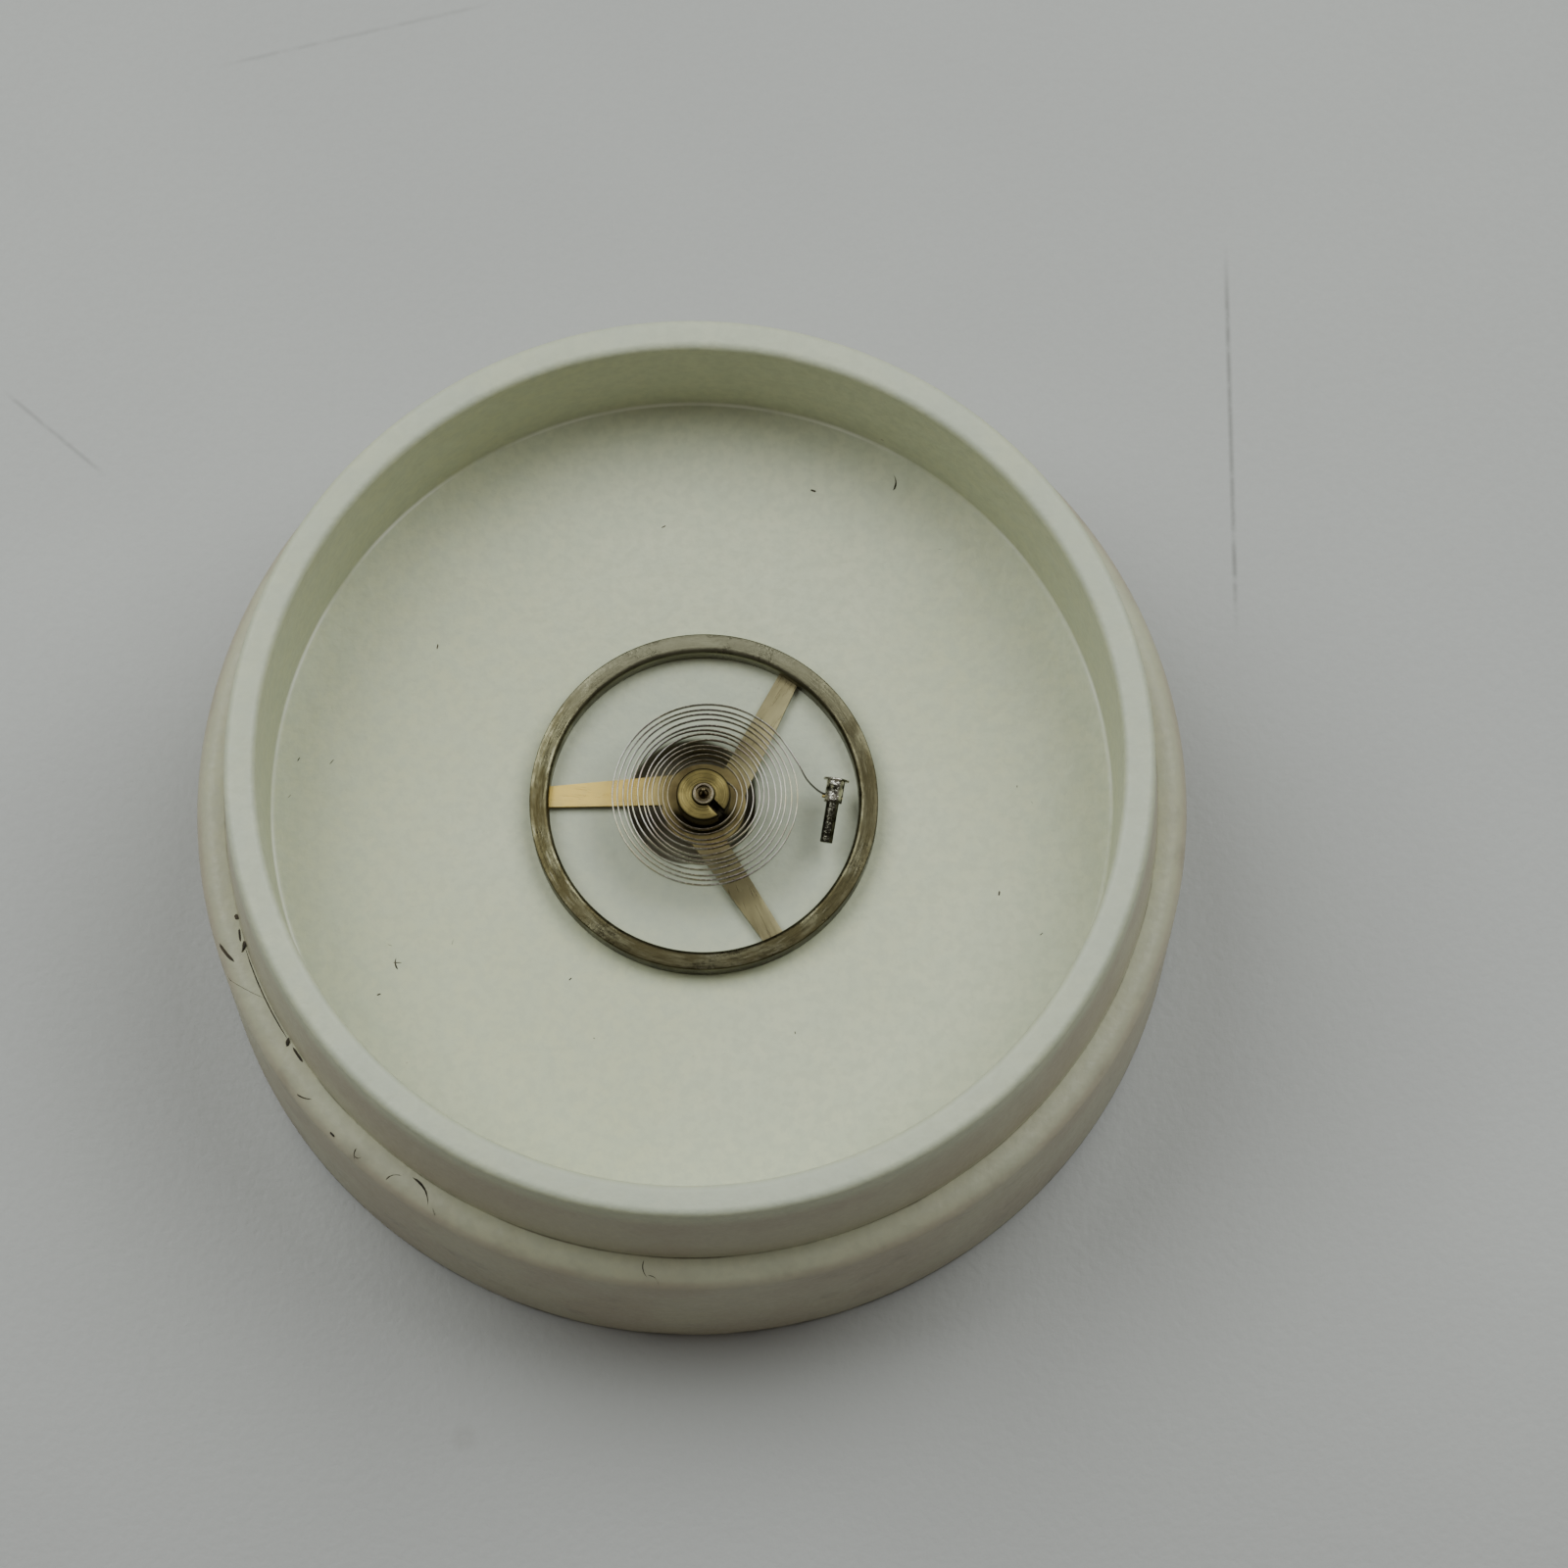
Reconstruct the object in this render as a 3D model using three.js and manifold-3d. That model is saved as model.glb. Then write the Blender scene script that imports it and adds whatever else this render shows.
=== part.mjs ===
// A watch balance lying in a white stepped parts dish.
//
// The dish is one plastic moulding: a base, a ledge for a cover, an upright rim and a flat floor.
// The roller side of the balance hangs in a well in the floor, so the wheel lies level.
// The balance is the wheel, its staff, two rollers, the impulse jewel, and the hairspring, which is
// pinned to a split collet at its inner end and to a stud at its outer end.
//
// Millimetres, +Z up. The origin is the middle of the face that the dish stands on.

import * as THREE from "three";
import { mergeVertices } from "three/addons/utils/BufferGeometryUtils.js";
import Module from "manifold-3d";

const wasm = await Module();
wasm.setup();

// ---------------------------------------------------------------- driving dimensions

// Dish
const DISH_RADIUS = 14.25; // outside of the base
const DISH_HEIGHT = 11.6; // foot to rim top
const DISH_DEPTH = 4.55; // rim top to floor
const LEDGE_WIDTH = 0.85; // base's outside to the foot of the rim
const LEDGE_RISE = 0.25; // floor to ledge
const LEDGE_ROUNDING = 0.55;
const RIM_DRAFT = 0.3; // how far the rim leans in from the ledge to its top
const RIM_WALL = 0.9; // at the top
const RIM_ROUNDING = 0.2;
const BORE_DRAFT = 0.08; // how much wider the mouth is than the floor
const FLOOR_FILLET = 0.12;
const SKIRT_WALL = 1.6; // base wall at the foot
const SKIRT_DRAFT = 0.15;
const FOOT_CHAMFER = 0.25;
const WELL_CLEARANCE = 0.4; // round the impulse roller, wherever it lies
const WELL_CLEARANCE_BELOW = 0.19; // under the staff's lower end
const WELL_CHAMFER = 0.1;
const WELL_FLOOR = 0.3; // plastic under the well, level with the underside of the floor

// Where the balance lies in the dish
const BALANCE_X = 0.35;
const BALANCE_Y = -0.14;
const REST_GAP = 0.02; // wheel to floor

// Balance wheel
const WHEEL_RADIUS = 5.0;
const WHEEL_RIM_WIDTH = 0.56;
const WHEEL_RIM_HEIGHT = 0.62;
const WHEEL_INNER_ROUNDING = 0.16;
const WHEEL_EDGE_BREAK = 0.04;
const ARM_COUNT = 3;
const ARM_THICKNESS = 0.16;
const ARM_LIFT = 0.06; // underside of the rim to underside of the arms
const ARM_WIDTH_AT_RIM = 0.59;
const ARM_WIDTH_AT_HUB = 0.91;
const ARM_EDGE_ANGLE = 61; // degrees, the first arm's straight radial edge
const WHEEL_HUB_RADIUS = 1.2; // disc where the arms meet

// Balance staff
const RIVET_RADIUS = 0.42; // through the wheel
const RIVET_FLARE = 0.1;
const RIVET_HEAD = 0.08; // below the arms
const HUB_RADIUS = 0.72;
const HUB_LENGTH = 0.5;
const COLLET_SEAT_RADIUS = 0.31;
const COLLET_SEAT_SPARE = 0.12; // of the seat above the collet
const ROLLER_SEAT_RADIUS = 0.24;
const ROLLER_SEAT_SPARE = 0.14; // of the seat below the safety roller
const CONE_LENGTH = 0.17;
const PIVOT_RADIUS = 0.055;
const PIVOT_LENGTH = 0.22;

// Rollers and impulse jewel
const IMPULSE_ROLLER_RADIUS = 1.05;
const IMPULSE_ROLLER_THICKNESS = 0.26;
const SAFETY_ROLLER_RADIUS = 0.5;
const SAFETY_ROLLER_THICKNESS = 0.3;
const SAFETY_NOTCH_RADIUS = 0.2;
const JEWEL_RADIUS = 0.15;
const JEWEL_FLAT = 0.07; // cut off the round, towards the rim of the roller
const JEWEL_INSET = 0.25; // roller's edge to the jewel's middle
const JEWEL_PROUD = 0.38; // below the impulse roller

// Collet and its pin
const COLLET_RADIUS = 0.775;
const COLLET_HEIGHT = 0.58;
const COLLET_EDGE_BREAK = 0.05;
const COLLET_SLOT = 0.2;
const COLLET_SLOT_ANGLE = -47; // degrees
const PIN_HOLE_ROOM = 0.03; // above and below the spring's blade
const PIN_TAPER = 0.01; // lost from the thick end to the thin one
const PIN_SPARE = 0.07; // proud of its hole at the thick end

// Hairspring
const SPRING_THICKNESS = 0.035;
const SPRING_BREADTH = 0.14;
const SPRING_ROUND_COLLET = 0.175; // collet's outside to the first coil
const SPRING_TURNS = 11.9;
const SPRING_LAST_ANGLE = 43; // degrees, where the tail leaves the coils
const SPRING_DRIFT = 0.08; // the last coil's middle to the staff's axis, towards the stud
const SPRING_HEIGHT_IN_COLLET = 0.37; // collet's underside to the middle of the blade
const SPRING_LEAD = 20; // degrees, from the collet's pin hole to the first coil
const TAIL_BENDS = [[0.13, 20], [0.28, 9]]; // out from the last coil, and degrees round the staff
const TAIL_ELBOW = 0.07; // the stud's hole to the tail's last bend

// Stud and its pin. The stud hangs from the spring's end, fallen over on its side.
const STUD_FLANGE_RADIUS = 0.37;
const STUD_FLANGE_THICKNESS = 0.07;
const STUD_HEAD_RADIUS = 0.26;
const STUD_HEAD_LENGTH = 0.7; // the flange with it
const STUD_POST_RADIUS = 0.18;
const STUD_POST_LENGTH = 1.16;
const STUD_EDGE_BREAK = 0.03;
const STUD_HOLE_FROM_POST = 0.19; // head's lower end to the middle of the pin hole
const STUD_IN_RIM = 0.72; // inside of the wheel's rim to the stud's pin hole
const TAIL_REACH = 0.98; // last coil to the stud's pin hole
const STUD_ANGLE = 0.3; // degrees, where the stud lies round the staff
const STUD_LEAN = 9.5; // degrees, the post's turn towards the staff
const STUD_DROOP = 10; // degrees, the post's slope down
const STUD_DROP = 0.1; // the spring's coils down to the stud's hole

// Fits: each piece stands clear of its neighbour by this much
const FIT_GAP = 0.012;

// How finely round shapes are cut
const LARGE_STEPS = 72;
const SMALL_STEPS = 32;
const FINE_STEPS = 12;
const SPRING_STEP = 0.3; // length of one straight piece of the spring
const COIL_STOPS = 24; // points that a coil's curve runs through, in each turn

// ---------------------------------------------------------------- places worked out from them

const radians = THREE.MathUtils.degToRad;

function polar(radius, angle, z) {
  return new THREE.Vector3(radius * Math.cos(angle), radius * Math.sin(angle), z);
}

const floorHeight = DISH_HEIGHT - DISH_DEPTH;
const ledgeHeight = floorHeight + LEDGE_RISE;

// Heights in the balance's own frame, where the wheel's underside is 0
const armTop = ARM_LIFT + ARM_THICKNESS;
const colletBottom = armTop + HUB_LENGTH + FIT_GAP;
const colletTop = colletBottom + COLLET_HEIGHT;
const springHeight = colletBottom + SPRING_HEIGHT_IN_COLLET;
const rivetBottom = ARM_LIFT - RIVET_HEAD;
const impulseTop = rivetBottom - FIT_GAP;
const impulseBottom = impulseTop - IMPULSE_ROLLER_THICKNESS;
const safetyTop = impulseBottom - FIT_GAP;
const safetyBottom = safetyTop - SAFETY_ROLLER_THICKNESS;
const lowerSeatEnd = safetyBottom - ROLLER_SEAT_SPARE;
const lowerTip = lowerSeatEnd - CONE_LENGTH - PIVOT_LENGTH;
const upperSeatEnd = colletTop + COLLET_SEAT_SPARE;
const upperTip = upperSeatEnd + CONE_LENGTH + PIVOT_LENGTH;
const jewelBottom = impulseBottom - JEWEL_PROUD;

const wheelInside = WHEEL_RADIUS - WHEEL_RIM_WIDTH;
const jewelPlace = IMPULSE_ROLLER_RADIUS - JEWEL_INSET;
const studReach = wheelInside - STUD_IN_RIM;
const firstCoil = COLLET_RADIUS + SPRING_ROUND_COLLET;
const lastCoil = studReach - TAIL_REACH;

// A pin hole holds the blade on one side of its middle and the taper pin on the other
const pinHoleRadius = SPRING_BREADTH / 2 + PIN_HOLE_ROOM;
const holeReach = pinHoleRadius * Math.cos(Math.PI / FINE_STEPS);
const bladeRoom = Math.sqrt(holeReach ** 2 - (SPRING_BREADTH / 2) ** 2);
const bladeSide = bladeRoom - FIT_GAP - SPRING_THICKNESS / 2;
const pinEdge = bladeSide - SPRING_THICKNESS / 2 - FIT_GAP;
const pinRadius = (holeReach - FIT_GAP + pinEdge) / 2;
const pinSide = pinEdge - pinRadius;

// The spring runs clockwise and outwards, so its angles fall from the first coil to the last
const lastAngle = radians(SPRING_LAST_ANGLE);
const firstAngle = lastAngle + SPRING_TURNS * 2 * Math.PI;

// The collet's pin hole crosses the ring halfway through its wall. A hole's heading is the way
// the blade runs through it.
const colletHoleReach = (COLLET_SEAT_RADIUS + COLLET_RADIUS) / 2;
const colletHoleHalf = Math.sqrt(COLLET_RADIUS ** 2 - colletHoleReach ** 2);
const colletHoleEnd = Math.atan2(colletHoleHalf, colletHoleReach);
const colletHoleAngle = firstAngle + radians(SPRING_LEAD) + colletHoleEnd;
const colletHole = {
  centre: polar(colletHoleReach, colletHoleAngle, springHeight),
  heading: colletHoleAngle - Math.PI / 2,
};
const studHole = {
  centre: polar(studReach, radians(STUD_ANGLE), springHeight - STUD_DROP),
  heading: radians(-STUD_LEAN),
};

// ---------------------------------------------------------------- shape helpers

// A turned body: [radius, height] points run anticlockwise, up the outside and down the inside.
function turned(profile, steps) {
  const points = profile.map(([r, z]) => new THREE.Vector2(r, z));
  return new THREE.LatheGeometry(points, steps).rotateX(Math.PI / 2);
}

// The points of a rounded corner of a profile, from one angle to another in degrees.
function corner(r, z, radius, from, to, steps = 4) {
  const points = [];
  for (let i = 0; i <= steps; i++) {
    const angle = radians(from + ((to - from) * i) / steps);
    points.push([r + radius * Math.cos(angle), z + radius * Math.sin(angle)]);
  }
  return points;
}

// A plate of the given outline, standing on height z.
function plate(outline, z, thickness) {
  const shape = new THREE.Shape(outline.map(([x, y]) => new THREE.Vector2(x, y)));
  const plain = { depth: thickness, bevelEnabled: false, curveSegments: SMALL_STEPS };
  return new THREE.ExtrudeGeometry(shape, plain).translate(0, 0, z);
}

// A round bar along Z, from one height to another.
function bar(radius, bottom, top, steps) {
  return turned([[0, bottom], [radius, bottom], [radius, top], [0, top]], steps);
}

// A manifold-3d solid of a geometry, and the geometry of such a solid.
function solid(geometry) {
  const bare = geometry.clone();
  bare.deleteAttribute("normal");
  bare.deleteAttribute("uv");
  const merged = mergeVertices(bare, 1e-5);
  const vertProperties = merged.attributes.position.array;
  const triVerts = new Uint32Array(merged.index.array);
  return new wasm.Manifold(new wasm.Mesh({ numProp: 3, vertProperties, triVerts }));
}

function geometryOf(made) {
  const mesh = made.getMesh();
  const geometry = new THREE.BufferGeometry();
  geometry.setAttribute("position", new THREE.BufferAttribute(mesh.vertProperties, 3));
  geometry.setIndex(new THREE.BufferAttribute(mesh.triVerts, 1));
  geometry.computeVertexNormals();
  return geometry;
}

function named(name, geometry, material) {
  const mesh = new THREE.Mesh(geometry, material);
  mesh.name = name;
  return mesh;
}

// ---------------------------------------------------------------- materials

const finish = (color, roughness, metalness) =>
  new THREE.MeshStandardMaterial({ color, roughness, metalness });

const whitePlastic = finish(0xd3d6c6, 0.55, 0);
const nickel = finish(0x9a9784, 0.32, 1);
const steel = finish(0x8c8c8a, 0.25, 1);
const brass = finish(0xb39a5a, 0.3, 1);
const springSteel = finish(0x77777c, 0.2, 1);
const ruby = finish(0x9c1430, 0.1, 0);

// ---------------------------------------------------------------- dish

function partsDish() {
  const rimFoot = DISH_RADIUS - LEDGE_WIDTH;
  const rimTop = rimFoot - RIM_DRAFT;
  const mouth = rimTop - RIM_WALL;
  const floorRadius = mouth - BORE_DRAFT;
  const wellRadius = IMPULSE_ROLLER_RADIUS + Math.hypot(BALANCE_X, BALANCE_Y) + WELL_CLEARANCE;
  const wellBottom = floorHeight + REST_GAP + lowerTip - WELL_CLEARANCE_BELOW;
  const webBottom = wellBottom - WELL_FLOOR;
  const skirt = DISH_RADIUS - SKIRT_WALL;
  const rimEdge = DISH_HEIGHT - RIM_ROUNDING;

  return turned(
    [
      [0, webBottom],
      [skirt - SKIRT_DRAFT, webBottom],
      [skirt, 0],
      [DISH_RADIUS - FOOT_CHAMFER, 0],
      [DISH_RADIUS, FOOT_CHAMFER],
      ...corner(DISH_RADIUS - LEDGE_ROUNDING, ledgeHeight - LEDGE_ROUNDING, LEDGE_ROUNDING, 0, 90),
      [rimFoot, ledgeHeight],
      ...corner(rimTop - RIM_ROUNDING, rimEdge, RIM_ROUNDING, 0, 90, 3),
      ...corner(mouth + RIM_ROUNDING, rimEdge, RIM_ROUNDING, 90, 180, 3),
      ...corner(floorRadius - FLOOR_FILLET, floorHeight + FLOOR_FILLET, FLOOR_FILLET, 0, -90, 2),
      [wellRadius + WELL_CHAMFER, floorHeight],
      [wellRadius, floorHeight - WELL_CHAMFER],
      [wellRadius, wellBottom],
      [0, wellBottom],
    ],
    LARGE_STEPS,
  );
}

// ---------------------------------------------------------------- balance wheel

// One arm, its anticlockwise edge on a radius and its other edge slanting towards the rim.
function armOutline() {
  const inner = WHEEL_HUB_RADIUS / 2;
  const outer = WHEEL_RADIUS - WHEEL_RIM_WIDTH / 2;
  return [[inner, 0], [inner, -ARM_WIDTH_AT_HUB], [outer, -ARM_WIDTH_AT_RIM], [outer, 0]];
}

function balanceWheel() {
  const rim = turned(
    [
      [wheelInside, 0],
      [WHEEL_RADIUS - WHEEL_EDGE_BREAK, 0],
      [WHEEL_RADIUS, WHEEL_EDGE_BREAK],
      [WHEEL_RADIUS, WHEEL_RIM_HEIGHT - WHEEL_EDGE_BREAK],
      [WHEEL_RADIUS - WHEEL_EDGE_BREAK, WHEEL_RIM_HEIGHT],
      ...corner(
        wheelInside + WHEEL_INNER_ROUNDING,
        WHEEL_RIM_HEIGHT - WHEEL_INNER_ROUNDING,
        WHEEL_INNER_ROUNDING,
        90,
        180,
        3,
      ),
      [wheelInside, 0],
    ],
    LARGE_STEPS,
  );
  let wheel = solid(rim).add(solid(bar(WHEEL_HUB_RADIUS, ARM_LIFT, armTop, SMALL_STEPS)));
  for (let i = 0; i < ARM_COUNT; i++) {
    const turn = radians(ARM_EDGE_ANGLE) + (i * 2 * Math.PI) / ARM_COUNT;
    wheel = wheel.add(solid(plate(armOutline(), ARM_LIFT, ARM_THICKNESS).rotateZ(turn)));
  }
  const staffHole = bar(RIVET_RADIUS + FIT_GAP, rivetBottom, colletBottom, SMALL_STEPS);
  return geometryOf(wheel.subtract(solid(staffHole)));
}

// ---------------------------------------------------------------- staff

function balanceStaff() {
  return turned(
    [
      [0, lowerTip],
      [PIVOT_RADIUS, lowerTip],
      [PIVOT_RADIUS, lowerTip + PIVOT_LENGTH],
      [ROLLER_SEAT_RADIUS, lowerSeatEnd],
      [ROLLER_SEAT_RADIUS, rivetBottom],
      [RIVET_RADIUS + RIVET_FLARE, rivetBottom],
      [RIVET_RADIUS, ARM_LIFT - FIT_GAP],
      [RIVET_RADIUS, armTop + FIT_GAP],
      [HUB_RADIUS, armTop + FIT_GAP],
      [HUB_RADIUS, colletBottom - FIT_GAP],
      [COLLET_SEAT_RADIUS, colletBottom - FIT_GAP],
      [COLLET_SEAT_RADIUS, upperSeatEnd],
      [PIVOT_RADIUS, upperTip - PIVOT_LENGTH],
      [PIVOT_RADIUS, upperTip],
      [0, upperTip],
    ],
    SMALL_STEPS,
  );
}

// ---------------------------------------------------------------- rollers and jewel

function impulseRoller() {
  const disc = bar(IMPULSE_ROLLER_RADIUS, impulseBottom, impulseTop, SMALL_STEPS);
  const bore = bar(ROLLER_SEAT_RADIUS + FIT_GAP, impulseBottom - 1, impulseTop + 1, SMALL_STEPS);
  const jewelHole = bar(JEWEL_RADIUS + FIT_GAP, impulseBottom - 1, impulseTop + 1, FINE_STEPS);
  jewelHole.translate(0, jewelPlace, 0);
  return geometryOf(solid(disc).subtract(solid(bore)).subtract(solid(jewelHole)));
}

function safetyRoller() {
  const disc = bar(SAFETY_ROLLER_RADIUS, safetyBottom, safetyTop, SMALL_STEPS);
  const bore = bar(ROLLER_SEAT_RADIUS + FIT_GAP, safetyBottom - 1, safetyTop + 1, SMALL_STEPS);
  const notch = bar(SAFETY_NOTCH_RADIUS, safetyBottom - 1, safetyTop + 1, FINE_STEPS);
  notch.translate(0, SAFETY_ROLLER_RADIUS + SAFETY_NOTCH_RADIUS / 4, 0);
  return geometryOf(solid(disc).subtract(solid(bore)).subtract(solid(notch)));
}

// A round pin with a flat on the side away from the staff.
function impulseJewel() {
  const round = bar(JEWEL_RADIUS, jewelBottom, impulseTop, FINE_STEPS);
  const side = 2 * JEWEL_RADIUS;
  const beyondFlat = new THREE.BoxGeometry(side, side, side * 4);
  beyondFlat.translate(0, JEWEL_RADIUS - JEWEL_FLAT + side / 2, impulseBottom);
  const pin = geometryOf(solid(round).subtract(solid(beyondFlat)));
  return pin.translate(0, jewelPlace, 0);
}

// ---------------------------------------------------------------- collet and pins

// Lays a geometry that runs along +X in a pin hole, off to the left of its heading by a distance.
function inHole(geometry, hole, side = 0) {
  const { x, y, z } = hole.centre;
  return geometry.translate(0, side, 0).rotateZ(hole.heading).translate(x, y, z);
}

// A point of a pin hole: so far along its heading, and so far to the left of it.
function holePoint(hole, along, side) {
  const up = new THREE.Vector3(0, 0, 1);
  return new THREE.Vector3(along, side, 0).applyAxisAngle(up, hole.heading).add(hole.centre);
}

function drill(half) {
  return bar(pinHoleRadius, -half, half, FINE_STEPS).rotateY(Math.PI / 2);
}

// A taper pin along +X through a hole of the given half length. Its thick end stands out of the
// end where the blade's heading begins, and its thin end is flush.
function taperPin(holeHalf) {
  const thick = -holeHalf - PIN_SPARE;
  const thin = pinRadius - PIN_TAPER;
  return turned([[0, thick], [pinRadius, thick], [thin, holeHalf], [0, holeHalf]], FINE_STEPS)
    .rotateY(Math.PI / 2);
}

function collet() {
  const bore = COLLET_SEAT_RADIUS + FIT_GAP;
  const ring = turned(
    [
      [bore, colletBottom],
      [COLLET_RADIUS - COLLET_EDGE_BREAK, colletBottom],
      [COLLET_RADIUS, colletBottom + COLLET_EDGE_BREAK],
      [COLLET_RADIUS, colletTop - COLLET_EDGE_BREAK],
      [COLLET_RADIUS - COLLET_EDGE_BREAK, colletTop],
      [bore, colletTop],
      [bore, colletBottom],
    ],
    SMALL_STEPS,
  );
  const slot = new THREE.BoxGeometry(COLLET_RADIUS, COLLET_SLOT, 2 * COLLET_HEIGHT);
  slot.translate((COLLET_SEAT_RADIUS + COLLET_RADIUS) / 2, 0, (colletBottom + colletTop) / 2);
  slot.rotateZ(radians(COLLET_SLOT_ANGLE));
  const hole = inHole(drill(COLLET_RADIUS), colletHole);
  return geometryOf(solid(ring).subtract(solid(slot)).subtract(solid(hole)));
}

// ---------------------------------------------------------------- hairspring

// The blade's middle line, from inside the collet's pin hole, round the coils and into the stud.
function bladeLine() {
  const points = [];
  for (const along of [-colletHoleHalf / 2, 0, colletHoleHalf / 2, colletHoleHalf]) {
    points.push(holePoint(colletHole, along, bladeSide));
  }

  // The coils: an even spiral whose middle drifts towards the stud
  const stops = Math.round(SPRING_TURNS * COIL_STOPS);
  for (let i = 0; i <= stops; i++) {
    const share = i / stops;
    const radius = THREE.MathUtils.lerp(firstCoil, lastCoil, share);
    const angle = THREE.MathUtils.lerp(firstAngle, lastAngle, share);
    const point = polar(radius, angle, springHeight);
    point.x += SPRING_DRIFT * share;
    points.push(point);
  }

  // The tail swings wide of the coils, sinks to the stud and turns into its hole
  TAIL_BENDS.forEach(([out, degrees], i) => {
    const sunk = (STUD_DROP * (i + 1)) / (TAIL_BENDS.length + 1);
    points.push(polar(lastCoil + out, radians(degrees), springHeight - sunk));
  });
  points.push(holePoint(studHole, -STUD_HEAD_RADIUS - TAIL_ELBOW, bladeSide));
  points.push(holePoint(studHole, 0, bladeSide));
  points.push(holePoint(studHole, STUD_HEAD_RADIUS, bladeSide));

  const line = new THREE.CatmullRomCurve3(points, false, "centripetal");
  line.arcLengthDivisions = points.length * 20;
  return line;
}

function hairspring() {
  const line = bladeLine();
  const high = SPRING_BREADTH / 2;
  const thick = SPRING_THICKNESS / 2;
  const corners = [[-high, -thick], [high, -thick], [high, thick], [-high, thick]];
  const section = new THREE.Shape(corners.map(([x, y]) => new THREE.Vector2(x, y)));
  const steps = Math.round(line.getLength() / SPRING_STEP);
  return new THREE.ExtrudeGeometry(section, { steps, extrudePath: line, bevelEnabled: false });
}

// ---------------------------------------------------------------- stud

// A turned stud, cross-drilled at its head. Its own frame has the pin hole along X at the origin,
// and +Z runs from the head to the end of the post.
function hairspringStud() {
  const top = STUD_HOLE_FROM_POST - STUD_HEAD_LENGTH;
  const postEnd = STUD_HOLE_FROM_POST + STUD_POST_LENGTH;
  const body = turned(
    [
      [0, top],
      [STUD_FLANGE_RADIUS, top],
      [STUD_FLANGE_RADIUS, top + STUD_FLANGE_THICKNESS],
      [STUD_HEAD_RADIUS, top + STUD_FLANGE_THICKNESS],
      [STUD_HEAD_RADIUS, STUD_HOLE_FROM_POST - STUD_EDGE_BREAK],
      [STUD_HEAD_RADIUS - STUD_EDGE_BREAK, STUD_HOLE_FROM_POST],
      [STUD_POST_RADIUS, STUD_HOLE_FROM_POST],
      [STUD_POST_RADIUS, postEnd - STUD_EDGE_BREAK],
      [STUD_POST_RADIUS - STUD_EDGE_BREAK, postEnd],
      [0, postEnd],
    ],
    SMALL_STEPS,
  );
  const stud = geometryOf(solid(body).subtract(solid(drill(2 * STUD_HEAD_RADIUS))));
  return inHole(stud.rotateX(radians(90 + STUD_DROOP)), studHole);
}

// ---------------------------------------------------------------- assembly

const balance = new THREE.Group();
balance.position.set(BALANCE_X, BALANCE_Y, floorHeight + REST_GAP);
balance.add(
  named("balance_wheel", balanceWheel(), nickel),
  named("balance_staff", balanceStaff(), steel),
  named("impulse_roller", impulseRoller(), brass),
  named("safety_roller", safetyRoller(), brass),
  named("impulse_jewel", impulseJewel(), ruby),
  named("collet", collet(), brass),
  named("collet_pin", inHole(taperPin(colletHoleHalf), colletHole, pinSide), brass),
  named("hairspring", hairspring(), springSteel),
  named("hairspring_stud", hairspringStud(), steel),
  named("stud_pin", inHole(taperPin(STUD_HEAD_RADIUS), studHole, pinSide), brass),
);

const assembly = new THREE.Group();
assembly.add(named("parts_dish", partsDish(), whitePlastic), balance);

export default assembly;
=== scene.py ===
"""A watch balance lying in a round white parts dish.

The dish is one plastic moulding. The balance's wheel, staff, rollers and hairspring turn together,
and the hairspring's outer end is pinned in a stud that has fallen on its side.
Shapes are made in millimetres and brought to metres when each piece is finished.
"""

import math
import random

import bmesh
import bpy
from mathutils import Matrix, Vector
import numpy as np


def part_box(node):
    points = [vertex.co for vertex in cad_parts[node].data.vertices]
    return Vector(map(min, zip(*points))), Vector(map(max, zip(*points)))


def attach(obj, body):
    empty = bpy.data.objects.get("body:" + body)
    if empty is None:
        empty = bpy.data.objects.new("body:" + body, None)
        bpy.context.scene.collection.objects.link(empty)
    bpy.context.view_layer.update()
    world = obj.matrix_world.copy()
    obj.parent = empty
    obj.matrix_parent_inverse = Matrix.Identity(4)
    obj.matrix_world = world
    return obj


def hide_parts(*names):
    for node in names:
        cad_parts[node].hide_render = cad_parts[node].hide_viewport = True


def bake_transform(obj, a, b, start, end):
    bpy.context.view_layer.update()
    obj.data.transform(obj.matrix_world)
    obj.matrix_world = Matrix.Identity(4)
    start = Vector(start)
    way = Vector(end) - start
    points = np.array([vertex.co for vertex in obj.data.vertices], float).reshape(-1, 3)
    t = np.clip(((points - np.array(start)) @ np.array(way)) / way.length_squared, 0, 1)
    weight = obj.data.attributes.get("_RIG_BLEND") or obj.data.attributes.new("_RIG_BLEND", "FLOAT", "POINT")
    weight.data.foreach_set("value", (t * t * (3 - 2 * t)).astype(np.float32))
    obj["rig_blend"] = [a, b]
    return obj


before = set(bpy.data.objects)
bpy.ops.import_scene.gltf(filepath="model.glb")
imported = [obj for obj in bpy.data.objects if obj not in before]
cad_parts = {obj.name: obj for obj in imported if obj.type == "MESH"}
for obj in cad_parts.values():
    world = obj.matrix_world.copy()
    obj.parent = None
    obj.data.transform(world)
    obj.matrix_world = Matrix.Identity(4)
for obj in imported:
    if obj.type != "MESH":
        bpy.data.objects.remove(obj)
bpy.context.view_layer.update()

MM = 0.001


# ------------------------------------------------------------------ sizes, in millimetres


def node_box(node):
    """A CAD node's lowest and highest corner in millimetres."""
    low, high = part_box(node)
    return Vector(low) / MM, Vector(high) / MM


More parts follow.
